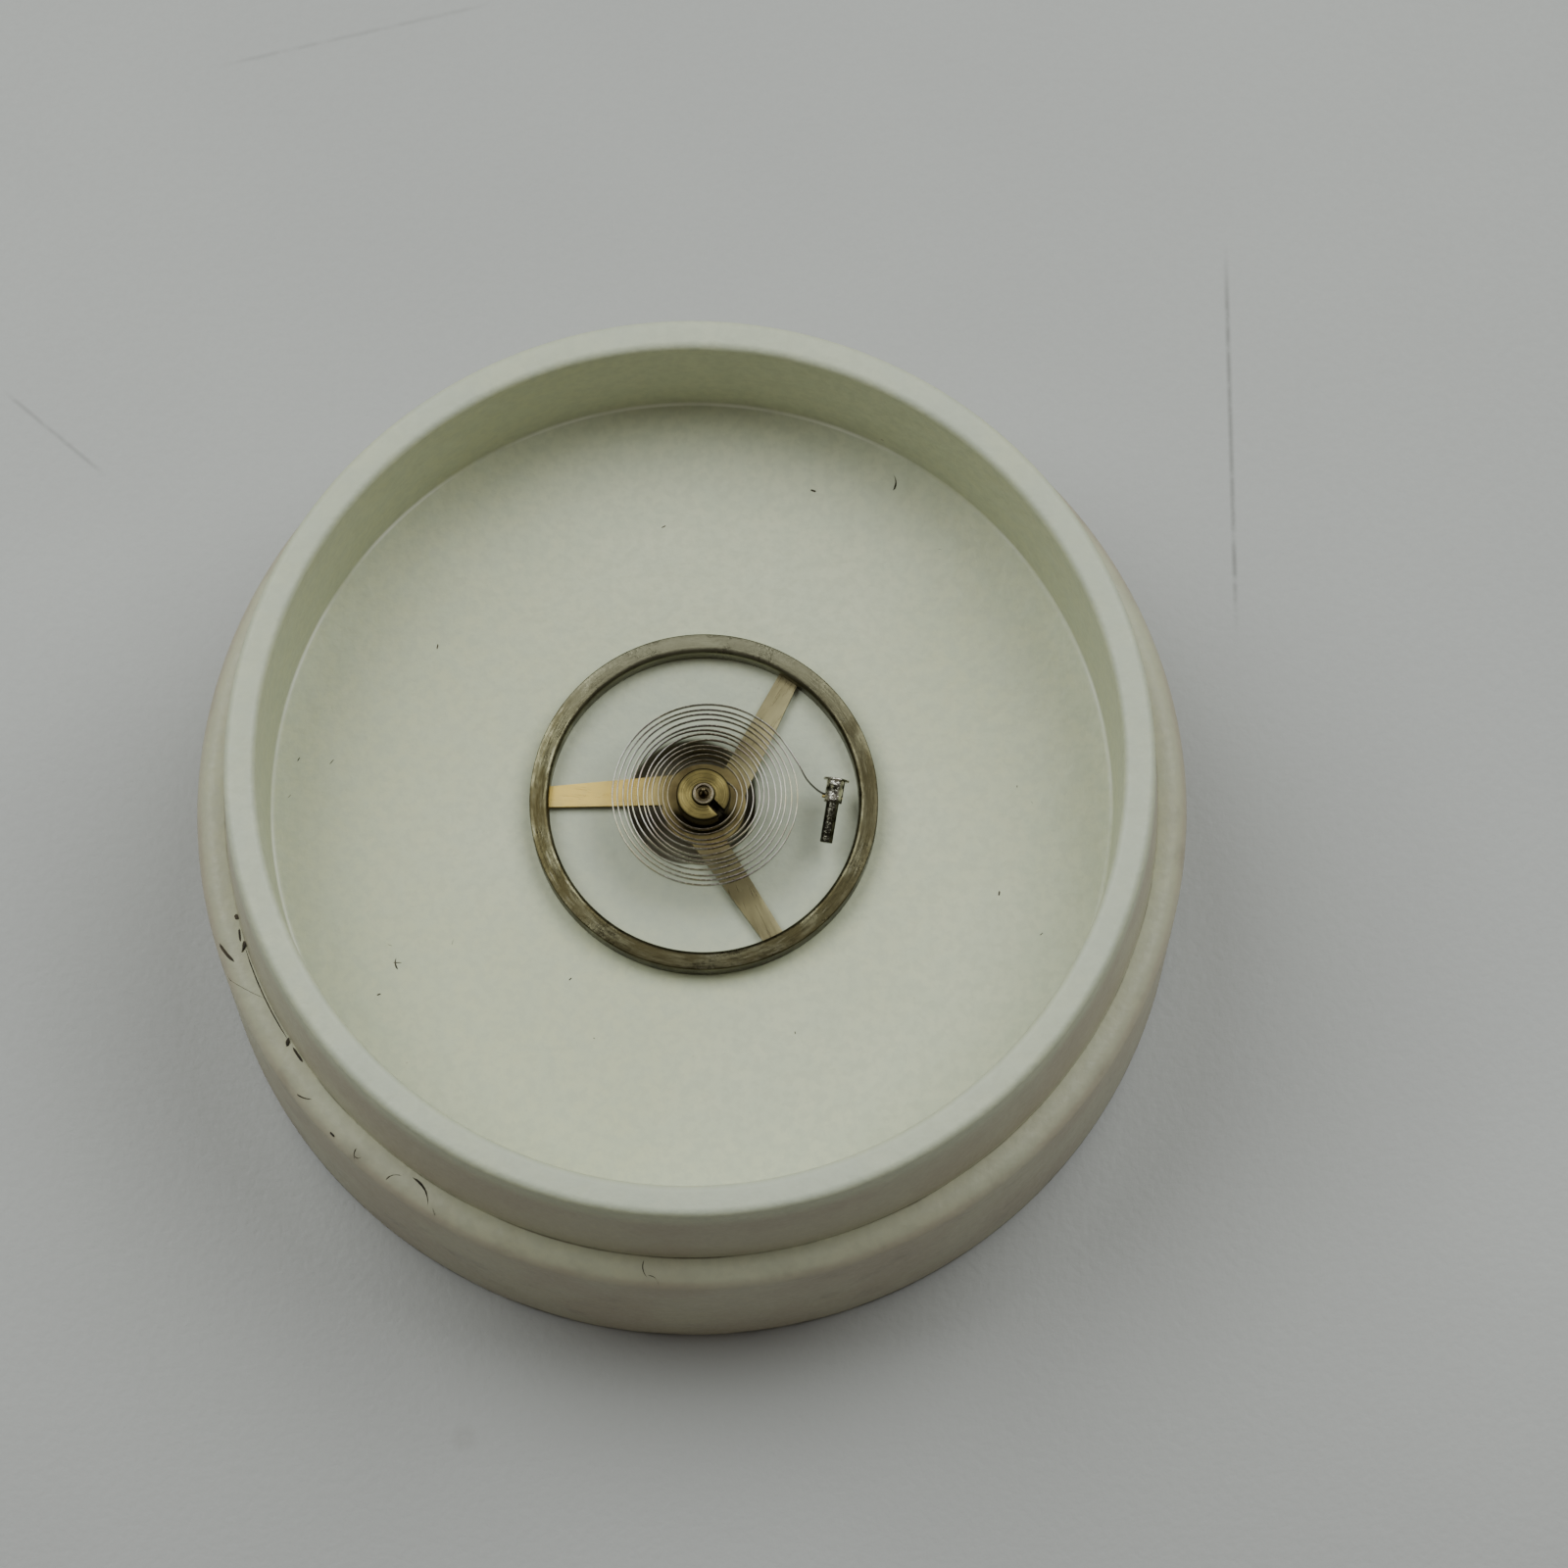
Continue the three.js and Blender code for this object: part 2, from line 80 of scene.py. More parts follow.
DISH_HIGH = node_box("parts_dish")[1]
DISH_RADIUS = DISH_HIGH.x
DISH_HEIGHT = DISH_HIGH.z
RIM_DEPTH = 4.55
LEDGE_WIDTH = 0.85
LEDGE_RISE = 0.25
LEDGE_ROUNDING = 0.55
RIM_LEAN = 0.3
RIM_WALL = 0.9
RIM_ROUNDING = 0.24
MOUTH_FLARE = 0.08
FLOOR_FILLET = 0.14
SKIRT_WALL = 1.6
SKIRT_LEAN = 0.15
SKIRT_FILLET = 0.4
FOOT_ROUNDING = 0.25
WELL_CLEARANCE = 0.4
WELL_CLEARANCE_BELOW = 0.19
WELL_ROUNDING = 0.12
WELL_FLOOR = 0.3
FLOOR = DISH_HEIGHT - RIM_DEPTH
LEDGE = FLOOR + LEDGE_RISE

WHEEL_LOW, WHEEL_HIGH = node_box("balance_wheel")
AXIS = (WHEEL_LOW + WHEEL_HIGH) / 2
AXIS.z = WHEEL_LOW.z
WHEEL_RADIUS = (WHEEL_HIGH.x - WHEEL_LOW.x) / 2
WHEEL_HEIGHT = WHEEL_HIGH.z - WHEEL_LOW.z
WHEEL_RIM_WIDTH = 0.56
WHEEL_INNER_ROUNDING = 0.16
ARM_THICKNESS = 0.16
ARM_LIFT = 0.06
ARM_WIDTH_AT_RIM = 0.59
ARM_WIDTH_AT_HUB = 0.91
ARM_EDGE_ANGLE = 61
WHEEL_HUB_RADIUS = 1.2
RIVET_RADIUS = 0.42
RIVET_FLARE = 0.1
RIVET_HEAD = 0.08

ROLLER_LOW, ROLLER_HIGH = node_box("impulse_roller")
ROLLER_RADIUS = (ROLLER_HIGH.x - ROLLER_LOW.x) / 2
SAFETY_LOW, SAFETY_HIGH = node_box("safety_roller")
SAFETY_RADIUS = (SAFETY_HIGH.x - SAFETY_LOW.x) / 2
SAFETY_NOTCH = 0.2
WELL_RADIUS = ROLLER_RADIUS + math.hypot(AXIS.x, AXIS.y) + WELL_CLEARANCE
JEWEL_LOW, JEWEL_HIGH = node_box("impulse_jewel")
JEWEL_RADIUS = (JEWEL_HIGH.x - JEWEL_LOW.x) / 2
JEWEL_REACH = JEWEL_LOW.y + JEWEL_RADIUS - AXIS.y

STAFF_LOW, STAFF_HIGH = node_box("balance_staff")
HUB_RADIUS = (STAFF_HIGH.x - STAFF_LOW.x) / 2
COLLET_SEAT_RADIUS = 0.31
ROLLER_SEAT_RADIUS = 0.24
CONE_LENGTH = 0.17
PIVOT_RADIUS = 0.055
PIVOT_LENGTH = 0.22
STAFF_LAND = 0.07
OIL_CUT = 0.09

COLLET_LOW, COLLET_HIGH = node_box("collet")
COLLET_RADIUS = (COLLET_HIGH.x - COLLET_LOW.x) / 2
COLLET_SLOT = 0.24
COLLET_SLOT_ANGLE = -47

SPRING_HIGH = node_box("hairspring")[1]
SPRING_THICKNESS = 0.035
SPRING_BREADTH = 0.14
SPRING_ROUND_COLLET = 0.175
SPRING_TURNS = 11.9
SPRING_LAST_ANGLE = 43
SPRING_DRIFT = 0.08
SPRING_LEAD = 20
COIL_WAVER = 0.03
COIL_WAVES = 2.28
SPRING_HEIGHT = SPRING_HIGH.z - SPRING_BREADTH / 2
TAIL_BENDS = [(0.13, 20), (0.28, 9)]
TAIL_ELBOW = 0.07

STUD_FLANGE_RADIUS = 0.37
STUD_FLANGE_THICKNESS = 0.07
STUD_HEAD_RADIUS = 0.26
STUD_HEAD_LENGTH = 0.7
STUD_POST_RADIUS = 0.18
STUD_POST_LENGTH = 1.16
STUD_HOLE_FROM_POST = 0.19
STUD_IN_RIM = 0.72
STUD_ANGLE = 0.3
STUD_LEAN = 9.5
STUD_DROOP = 10
STUD_DROP = 0.1
TAIL_REACH = 0.98
PIN_HOLE_ROOM = 0.03
PIN_SPARE = 0.07
PIN_TAPER = 0.01
FIT_GAP = 0.012

FIRST_COIL = COLLET_RADIUS + SPRING_ROUND_COLLET
STUD_REACH = WHEEL_RADIUS - WHEEL_RIM_WIDTH - STUD_IN_RIM
LAST_COIL = STUD_REACH - TAIL_REACH

# How finely round shapes and the hairspring are made
LARGE_ROUND = 256
SMALL_ROUND = 96
FINE_ROUND = 32
STOPS_PER_TURN = 24
BLADE_SPACING = 0.07


# ------------------------------------------------------------------ mesh making


def arc(r, z, radius, start, end, steps=8):
    """Points of a rounded corner of a turned profile, between two angles in degrees."""
    points = []
    for i in range(steps + 1):
        angle = math.radians(start + (end - start) * i / steps)
        points.append((r + radius * math.cos(angle), z + radius * math.sin(angle)))
    return points


def new_piece(name, bm, *materials):
    """An object in the scene from a bmesh in millimetres."""
    bmesh.ops.recalc_face_normals(bm, faces=bm.faces)
    mesh = bpy.data.meshes.new(name)
    bm.to_mesh(mesh)
    bm.free()
    piece = bpy.data.objects.new(name, mesh)
    for material in materials:
        mesh.materials.append(material)
    bpy.context.scene.collection.objects.link(piece)
    return piece


def turned(profile, steps):
    """A bmesh of a body turned about Z. The profile is closed, or starts and ends on the axis."""
    bm = bmesh.new()
    rings = []
    for r, z in profile:
        if r < 1e-6:
            rings.append([bm.verts.new((0, 0, z))])
            continue
        around = []
        for i in range(steps):
            angle = 2 * math.pi * i / steps
            around.append(bm.verts.new((r * math.cos(angle), r * math.sin(angle), z)))
        rings.append(around)
    on_axis = profile[0][0] < 1e-6
    count = len(rings) - 1 if on_axis else len(rings)
    for k in range(count):
        a, b = rings[k], rings[(k + 1) % len(rings)]
        for i in range(steps):
            j = (i + 1) % steps
            corners = [a[i % len(a)], a[j % len(a)], b[j % len(b)], b[i % len(b)]]
            face = list(dict.fromkeys(corners))
            if len(face) > 2:
                bm.faces.new(face)
    return bm


def cylinder(radius, low, high, steps):
    """A bmesh of a cylinder on Z between two heights."""
    return turned([(0, low), (radius, low), (radius, high), (0, high)], steps)


def block(low, high):
    """A bmesh of a box between two corners."""
    bm = bmesh.new()
    bmesh.ops.create_cube(bm, size=1)
    size = Vector(high) - Vector(low)
    middle = (Vector(high) + Vector(low)) / 2
    bm.transform(Matrix.Translation(middle) @ Matrix.Diagonal((*size, 1)))
    return bm


def plate(outline, low, high):
    """A bmesh of a flat plate with the given outline, between two heights."""
    bm = bmesh.new()
    bottom = [bm.verts.new((x, y, low)) for x, y in outline]
    top = [bm.verts.new((x, y, high)) for x, y in outline]
    bm.faces.new(bottom[::-1])
    bm.faces.new(top)
    for i in range(len(outline)):
        j = (i + 1) % len(outline)
        bm.faces.new((bottom[i], bottom[j], top[j], top[i]))
    return bm


def settle(piece):
    """Applies a piece's modifiers to its mesh."""
    graph = bpy.context.evaluated_depsgraph_get()
    mesh = bpy.data.meshes.new_from_object(piece.evaluated_get(graph))
    old = piece.data
    piece.modifiers.clear()
    piece.data = mesh
    mesh.name = piece.name
    bpy.data.meshes.remove(old)


def combine(piece, tool, operation):
    """Joins another piece to this one, or cuts it away, and removes that other piece."""
    modifier = piece.modifiers.new("combine", "BOOLEAN")
    modifier.operation = operation
    modifier.object = tool
    modifier.solver = "EXACT"
    modifier.material_mode = "TRANSFER"
    settle(piece)
    bpy.data.objects.remove(tool)


def cut(piece, bm):
    combine(piece, new_piece("cutter", bm), "DIFFERENCE")


def soften(piece, width, segments=3, angle=32):
    """Rounds a piece's sharp edges."""
    modifier = piece.modifiers.new("soften", "BEVEL")
    modifier.width = width
    modifier.segments = segments
    modifier.limit_method = "ANGLE"
    modifier.angle_limit = math.radians(angle)
    settle(piece)


def finished(piece, body, slot, *nodes, sharp=35):
    """Brings a piece to metres, shades it, and hands it to its body in place of its CAD nodes."""
    mesh = piece.data
    mesh.transform(Matrix.Scale(MM, 4))
    mesh.shade_smooth()
    mesh.set_sharp_from_angle(angle=math.radians(sharp))
    if nodes:
        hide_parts(*nodes)
    if body:
        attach(piece, body)


def at_axis(bm):
    """Moves a bmesh to the balance's axis, with its own zero at the wheel's underside."""
    bm.transform(Matrix.Translation(AXIS))
    return bm


# ------------------------------------------------------------------ material making


class Finish:
    """A material being made: its nodes, the place they start from, and its shader."""

    def __init__(self, name, **constants):
        self.material = bpy.data.materials.new(name)
        self.material.use_nodes = True
        self.tree = self.material.node_tree
        self.shader = self.tree.nodes["Principled BSDF"]
        connect(self.tree, self.shader, constants)
        metres = add(self.tree, "ShaderNodeTexCoord").outputs["Object"]
        scaled = add(self.tree, "ShaderNodeMapping", Vector=metres, Scale=(1 / MM,) * 3)
        self.place = scaled.outputs["Vector"]

    def feed(self, socket, source):
        self.tree.links.new(source, self.shader.inputs[socket])

    def along(self, axis):
        """The place along the X, Y or Z axis."""
        return add(self.tree, "ShaderNodeSeparateXYZ", Vector=self.place).outputs[axis]

    def group(self, tree, **inputs):
        """An effect group's outputs at this place, with its other inputs set."""
        settings = {"node_tree": tree}
        return add(self.tree, "ShaderNodeGroup", settings, Place=self.place, **inputs).outputs

    def patches(self, scale, detail, amount):
        return self.group(PATCHES, Scale=scale, Detail=detail, Amount=amount)["Mask"]

    def specks(self, scale, size, share):
        return self.group(SPECKS, Scale=scale, Size=size, Share=share)["Mask"]

    def grain(self, scale, detail):
        return self.group(GRAIN, Scale=scale, Detail=detail)["Height"]

    def rings(self, rings, centre):
        return self.group(TURNING, Centre=tuple(centre), Rings=rings)

    def brushed(self, lines):
        return self.group(BRUSHED, Centre=tuple(AXIS), Lines=lines)["Height"]

    def streaks(self, around, across):
        return self.group(STREAKS, Centre=tuple(AXIS), Around=around, Across=across)["Height"]

    def mix(self, mask, first, second):
        node = add(self.tree, "ShaderNodeMix", {"data_type": "RGBA"})
        for number, value in ((0, mask), (6, first), (7, second)):
            give(self.tree, node.inputs[number], (*value, 1) if isinstance(value, tuple) else value)
        return node.outputs[2]

    def ramp(self, value, low, high, to_low=0.0, to_high=1.0):
        return ramp(self.tree, value, low, high, to_low, to_high)

    def near(self, value, centre, inner, outer):
        """A mask: one within a distance of the centre, fading to nothing at a further one."""
        distance = calc(self.tree, "ABSOLUTE", self.minus(value, centre))
        return self.ramp(distance, inner, outer, 1.0, 0.0)

    def times(self, first, second):
        return calc(self.tree, "MULTIPLY", first, second)

    def plus(self, first, second):
        return calc(self.tree, "ADD", first, second)

    def minus(self, first, second):
        return calc(self.tree, "SUBTRACT", first, second)

    def greater(self, first, second):
        return calc(self.tree, "MAXIMUM", first, second)

    def paint(self, mask, colour):
        """Lays another colour over the material's own, where the mask is."""
        self.colour = self.mix(mask, self.colour, colour)

    def roughen(self, height, low, high):
        """Lets the roughness follow a height map from one value to another."""
        self.feed("Roughness", self.ramp(height, 0.3, 0.7, low, high))

    def bump(self, height, distance):
        """Gives the shader a bump of a height map, measured in millimetres."""
        node = add(self.tree, "ShaderNodeBump", Height=height, Distance=distance * MM, Strength=1.0)
        self.feed("Normal", node.outputs["Normal"])

    def made(self):
        self.feed("Base Color", self.colour)
        return self.material


def give(tree, socket, value):
    """Links a socket to another one, or sets it to a value."""
    if isinstance(value, bpy.types.NodeSocket):
        tree.links.new(value, socket)
    else:
        socket.default_value = value


def connect(tree, node, inputs):
    for key, value in inputs.items():
        give(tree, node.inputs[key.replace("_", " ")], value)


def add(tree, kind, settings=None, **inputs):
    """A node with the given settings and inputs."""
    node = tree.nodes.new(kind)
    for key, value in (settings or {}).items():
        setattr(node, key, value)
    connect(tree, node, inputs)
    return node


def calc(tree, operation, *values):
    """The result of a maths node."""
    node = add(tree, "ShaderNodeMath", {"operation": operation})
    for socket, value in zip(node.inputs, values):
        give(tree, socket, value)
    return node.outputs["Value"]


def vector_calc(tree, operation, *values):
    """A vector maths node's outputs."""
    node = add(tree, "ShaderNodeVectorMath", {"operation": operation})
    for socket, value in zip(node.inputs, values):
        give(tree, socket, value)
    return node.outputs


def ramp(tree, value, low, high, to_low=0.0, to_high=1.0):
    """Takes a value from one range to another, smoothly and held at the ends."""
    node = add(tree, "ShaderNodeMapRange", {"interpolation_type": "SMOOTHSTEP", "clamp": True},
               Value=value, From_Min=low, From_Max=high, To_Min=to_low, To_Max=to_high)
    return node.outputs["Result"]


def effect(name, inputs, *outputs):
    """A new effect group, its outputs all numbers, with its inner input and output sockets."""
    tree = bpy.data.node_groups.new(name, "ShaderNodeTree")
    for socket, default in {"Place": (0, 0, 0), **inputs}.items():
        kind = "NodeSocketVector" if isinstance(default, tuple) else "NodeSocketFloat"
        tree.interface.new_socket(socket, in_out="INPUT", socket_type=kind).default_value = default
    for socket in outputs:
        tree.interface.new_socket(socket, in_out="OUTPUT", socket_type="NodeSocketFloat")
    return tree, tree.nodes.new("NodeGroupInput").outputs, tree.nodes.new("NodeGroupOutput").inputs


def noise(tree, place, scale, detail):
    return add(tree, "ShaderNodeTexNoise", Vector=place, Scale=scale, Detail=detail).outputs["Fac"]


def from_centre(tree, given):
    """The way from an effect's centre to its place."""
    return vector_calc(tree, "SUBTRACT", given["Place"], given["Centre"])["Vector"]


def patches_effect():
    """Soft uneven patches: stains, tarnish, changes of tone."""
    inputs = {"Scale": 1, "Detail": 4, "Amount": 0.5}
    softness = 0.14
    tree, given, out = effect("uneven patches", inputs, "Mask")
    clouds = noise(tree, given["Place"], given["Scale"], given["Detail"])
    edge = calc(tree, "SUBTRACT", 1.0, given["Amount"])
    low = calc(tree, "SUBTRACT", edge, softness)
    high = calc(tree, "ADD", edge, softness)
    tree.links.new(ramp(tree, clouds, low, high), out["Mask"])
    return tree


def specks_effect():
    """Sparse small round specks of dust."""
    inputs = {"Scale": 1, "Size": 0.1, "Share": 0.2}
    tree, given, out = effect("sparse specks", inputs, "Mask")
    cells = add(tree, "ShaderNodeTexVoronoi", Vector=given["Place"], Scale=given["Scale"]).outputs
    chosen = add(tree, "ShaderNodeSeparateColor", Color=cells["Color"]).outputs
    rare = calc(tree, "LESS_THAN", chosen["Red"], given["Share"])
    size = calc(tree, "MULTIPLY", given["Size"], chosen["Green"])
    outside = ramp(tree, cells["Distance"], calc(tree, "MULTIPLY", size, 0.5), size)
    small = calc(tree, "SUBTRACT", 1.0, outside)
    tree.links.new(calc(tree, "MULTIPLY", rare, small), out["Mask"])
    return tree


def turning_effect():
    """Fine rings left by a cutter, round the Z axis through a centre."""
    inputs = {"Centre": (0, 0, 0), "Rings": 20}
    tree, given, out = effect("turning rings", inputs, "Height", "Radius", "Level")
    parts = add(tree, "ShaderNodeSeparateXYZ", Vector=from_centre(tree, given)).outputs
    flat = add(tree, "ShaderNodeCombineXYZ", X=parts["X"], Y=parts["Y"]).outputs["Vector"]
    radius = vector_calc(tree, "LENGTH", flat)["Value"]
    along = add(tree, "ShaderNodeCombineXYZ", X=radius, Y=parts["Z"]).outputs["Vector"]
    tree.links.new(noise(tree, along, given["Rings"], 2.0), out["Height"])
    tree.links.new(radius, out["Radius"])
    tree.links.new(parts["Z"], out["Level"])
    return tree


def grain_effect():
    """A fine random grain."""
    tree, given, out = effect("fine grain", {"Scale": 10, "Detail": 3}, "Height")
    grains = noise(tree, given["Place"], given["Scale"], given["Detail"])
    tree.links.new(grains, out["Height"])
    return tree


def brushed_effect():
    """Straight fine lines that run out from the Z axis through a centre."""
    inputs = {"Centre": (0, 0, 0), "Lines": 200}
    tree, given, out = effect("brushed lines", inputs, "Height")
    outward = vector_calc(tree, "NORMALIZE", from_centre(tree, given))["Vector"]
    tree.links.new(noise(tree, outward, given["Lines"], 2.0), out["Height"])
    return tree


def streaks_effect():
    """Uneven streaks that run round the Z axis through a centre."""
    inputs = {"Centre": (0, 0, 0), "Around": 4, "Across": 4}
    tree, given, out = effect("streaks round", inputs, "Height")
    flat = vector_calc(tree, "MULTIPLY", from_centre(tree, given), (1, 1, 0))["Vector"]
    radius = vector_calc(tree, "LENGTH", flat)["Value"]
    outward = vector_calc(tree, "NORMALIZE", flat)["Vector"]
    parts = add(tree, "ShaderNodeSeparateXYZ", Vector=outward).outputs
    stretched = add(
        tree, "ShaderNodeCombineXYZ",
        X=calc(tree, "MULTIPLY", parts["X"], given["Around"]),
        Y=calc(tree, "MULTIPLY", parts["Y"], given["Around"]),
        Z=calc(tree, "MULTIPLY", radius, given["Across"]),
    )
    tree.links.new(noise(tree, stretched.outputs["Vector"], 1.0, 4.0), out["Height"])
    return tree


PATCHES = patches_effect()
SPECKS = specks_effect()
TURNING = turning_effect()
GRAIN = grain_effect()
BRUSHED = brushed_effect()
STREAKS = streaks_effect()


# ------------------------------------------------------------------ materials


def white_plastic():
    """Off-white moulded plastic, soiled where fingers and the bench have touched it."""
    f = Finish("white_plastic", Specular_IOR_Level=0.45)
    rings = f.rings(3.0, (0, 0, 0))
    tone = f.patches(0.09, 2.0, 0.5)
    f.colour = f.mix(tone, (0.55, 0.57, 0.385), (0.575, 0.595, 0.43))
    mottle = f.patches(1.6, 6.0, 0.5)
    f.paint(f.times(mottle, 0.4), (0.49, 0.535, 0.4))

    speckle = f.grain(3.4, 3.0)
    f.paint(f.ramp(speckle, 0.42, 0.62, 0.0, 0.4), (0.46, 0.485, 0.36))

    # Painted shade: the middle of the floor, under the wheel, is greyer
    wheel_distance = f.rings(1.0, AXIS)["Radius"]
    middle = f.ramp(wheel_distance, WHEEL_RADIUS * 0.7, WHEEL_RADIUS * 1.05, 0.45, 0.0)
    f.paint(middle, (0.36, 0.395, 0.335))

    # Painted shade browns the well that the staff hangs in
    well = f.times(
        f.ramp(rings["Radius"], WELL_RADIUS, WELL_RADIUS + 0.3, 1.0, 0.0),
        f.ramp(rings["Level"], FLOOR - 0.3, FLOOR, 0.85, 0.0),
    )
    f.paint(well, (0.2, 0.165, 0.1))

    # A painted highlight: a pale line where the floor meets the wall, broken into patches
    floor_radius = DISH_RADIUS - LEDGE_WIDTH - RIM_LEAN - RIM_WALL - MOUTH_FLARE
    edge = f.near(rings["Radius"], floor_radius - 0.03, 0.02, 0.07)
    low = f.near(rings["Level"], FLOOR, 0.03, 0.16)
    patchy = f.patches(0.2, 3.0, 0.55)
    pale = f.times(f.times(edge, low), f.times(patchy, 0.7))
    f.paint(pale, (0.86, 0.87, 0.76))

    # Brown soil and painted shade on the outside: below the rim's top, on the ledge and down the side, less
    # on the level ledge
    rim_foot = DISH_RADIUS - LEDGE_WIDTH
    outside = f.ramp(rings["Radius"], rim_foot - RIM_LEAN - 0.06, rim_foot - 0.2)
    below = f.ramp(rings["Level"], DISH_HEIGHT - 1.2, DISH_HEIGHT - 0.3, 1.0, 0.0)
    film = f.patches(0.3, 6.0, 0.5)
    level_part = f.near(rings["Level"], LEDGE, 0.03, 0.3)
    share = f.times(f.ramp(film, 0.0, 1.0, 0.5, 0.72), f.ramp(level_part, 0.0, 1.0, 1.0, 0.45))
    soil_and_shade = f.times(f.times(outside, below), share)
    f.paint(soil_and_shade, (0.4, 0.335, 0.25))
    grime = f.patches(0.75, 8.0, 0.34)
    lower = f.times(outside, f.ramp(rings["Level"], LEDGE - 0.1, LEDGE + 0.05, 1.0, 0.0))
    f.paint(f.times(grime, f.times(lower, 0.42)), (0.22, 0.19, 0.15))

    # The rim's top is greyer and bluer, in patches
    greyer_top = f.ramp(rings["Level"], DISH_HEIGHT - 0.15, DISH_HEIGHT - 0.02, 0.0, 0.55)
    f.paint(f.times(greyer_top, f.ramp(film, 0.0, 1.0, 0.5, 1.0)), (0.46, 0.5, 0.42))

    # Broken dark lines in the corner of rim and ledge, and a painted contact shadow along the foot
    broken = f.patches(0.4, 5.0, 0.5)
    corner = f.times(
        f.near(rings["Radius"], rim_foot, 0.0, 0.05),
        f.near(rings["Level"], LEDGE, 0.0, 0.08),
    )
    f.paint(f.times(corner, f.times(broken, 0.7)), (0.13, 0.1, 0.07))
    foot = f.ramp(rings["Level"], 0.2, 0.45, 0.95, 0.0)
    ragged = f.patches(0.5, 6.0, 0.52)
    f.paint(f.times(foot, ragged), (0.07, 0.06, 0.05))

    dust = f.specks(1.1, 0.1, 0.12)
    f.paint(f.times(dust, 0.5), (0.25, 0.2, 0.15))

    fine = f.grain(6.0, 5.0)
    f.roughen(fine, 0.42, 0.55)
    wavy = f.grain(0.8, 2.0)
    f.bump(f.plus(f.times(wavy, 4.0), fine), 0.014)
    return f.made()


def lint():
    """Dark fibres and grit."""
    f = Finish("lint", Specular_IOR_Level=0.3)
    tone = f.patches(3.0, 3.0, 0.5)
    f.colour = f.mix(tone, (0.028, 0.025, 0.02), (0.075, 0.06, 0.04))
    fine = f.grain(25.0, 3.0)
    f.roughen(fine, 0.6, 0.85)
    return f.made()


def tarnished_nickel():
    """A nickelled rim, dulled to olive grey, with streaks and brown patches of tarnish."""
    f = Finish("tarnished_nickel", Metallic=1.0)
    rings = f.rings(30.0, AXIS)
    broad = f.streaks(4.0, 3.0)
    thin = f.streaks(8.0, 11.0)
    f.colour = f.mix(f.ramp(broad, 0.42, 0.58), (0.075, 0.066, 0.032), (0.17, 0.16, 0.095))

    # The rim is lighter towards the far side; tarnish streaks and brown patches lie on the rest, and it is
    # darker towards the near side and the right
    x, y = f.along("X"), f.along("Y")
    far_side = f.ramp(y, AXIS.y + WHEEL_RADIUS * 0.3, AXIS.y + WHEEL_RADIUS, 0.0, 0.75)
    rest_of_rim = f.minus(1.0, far_side)
    lines = f.times(f.ramp(thin, 0.5, 0.66), f.times(rest_of_rim, 0.8))
    f.paint(lines, (0.035, 0.03, 0.015))
    bright = f.times(f.ramp(thin, 0.42, 0.3), f.times(rest_of_rim, 0.6))
    f.paint(bright, (0.28, 0.265, 0.185))
    brown = f.patches(0.8, 4.0, 0.5)
    f.paint(f.times(brown, f.times(rest_of_rim, 0.7)), (0.06, 0.048, 0.02))
    f.paint(far_side, (0.19, 0.185, 0.128))
    darker_side = f.greater(
        f.ramp(x, AXIS.x + WHEEL_RADIUS * 0.3, AXIS.x + WHEEL_RADIUS, 0.0, 0.55),
        f.ramp(y, AXIS.y - WHEEL_RADIUS * 0.4, AXIS.y - WHEEL_RADIUS, 0.0, 0.5),
    )
    f.paint(darker_side, (0.045, 0.04, 0.024))
    fine = f.grain(9.0, 2.0)
    patchy = f.plus(f.times(brown, 0.16), f.ramp(fine, 0.3, 0.7, 0.24, 0.32))
    f.feed("Roughness", patchy)
    f.bump(f.plus(f.plus(rings["Height"], thin), fine), 0.005)
    return f.made()


def gilt_arms():
    """Brushed gilt arms, lit and shaded copies of one gilt: the arm that catches the lamps is painted more
    golden, the others olive grey.
    """
    f = Finish("gilt_arms", Metallic=1.0, Anisotropic=0.7, Anisotropic_Rotation=0.25)
    tangent = add(f.tree, "ShaderNodeTangent", {"direction_type": "RADIAL", "axis": "Z"})
    f.feed("Tangent", tangent.outputs["Tangent"])
    # Painted highlight colour: the left arm, which catches the lamps, is more golden
    lit_arm = f.ramp(f.along("X"), AXIS.x - 2.4, AXIS.x - 0.3, 1.0, 0.0)
    f.colour = f.mix(lit_arm, (0.34, 0.3, 0.165), (0.42, 0.3, 0.085))
    dull = f.patches(1.1, 3.0, 0.45)
    f.paint(f.times(dull, 0.35), (0.2, 0.17, 0.1))

    # The hub is browned, with painted shadow in front of the collet
    radius = f.rings(1.0, AXIS)["Radius"]
    hub = f.ramp(radius, WHEEL_HUB_RADIUS - 0.1, WHEEL_HUB_RADIUS + 0.5, 0.9, 0.0)
    stained = f.patches(1.5, 4.0, 0.5)
    f.paint(hub, f.mix(stained, (0.4, 0.32, 0.14), (0.24, 0.18, 0.08)))
    painted_shade = f.times(
        f.ramp(radius, COLLET_RADIUS + 0.08, COLLET_RADIUS + 0.2, 0.95, 0.0),
        f.ramp(f.along("Y"), AXIS.y - 0.35, AXIS.y, 1.0, 0.0),
    )
    f.paint(painted_shade, (0.012, 0.01, 0.005))
    lines = f.brushed(90.0)
    f.feed("Roughness", f.plus(f.ramp(lines, 0.3, 0.7, 0.27, 0.38), f.times(hub, 0.32)))
    f.bump(lines, 0.0012)
    return f.made()


def turned_brass():
    """Turned brass, dulled in places."""
    f = Finish("turned_brass", Metallic=1.0)
    rings = f.rings(45.0, AXIS)["Height"]
    dull = f.patches(2.6, 6.0, 0.45)
    f.colour = f.mix(f.times(dull, 0.85), (0.4, 0.31, 0.12), (0.16, 0.12, 0.045))
    f.roughen(rings, 0.22, 0.36)
    f.bump(rings, 0.003)
    return f.made()


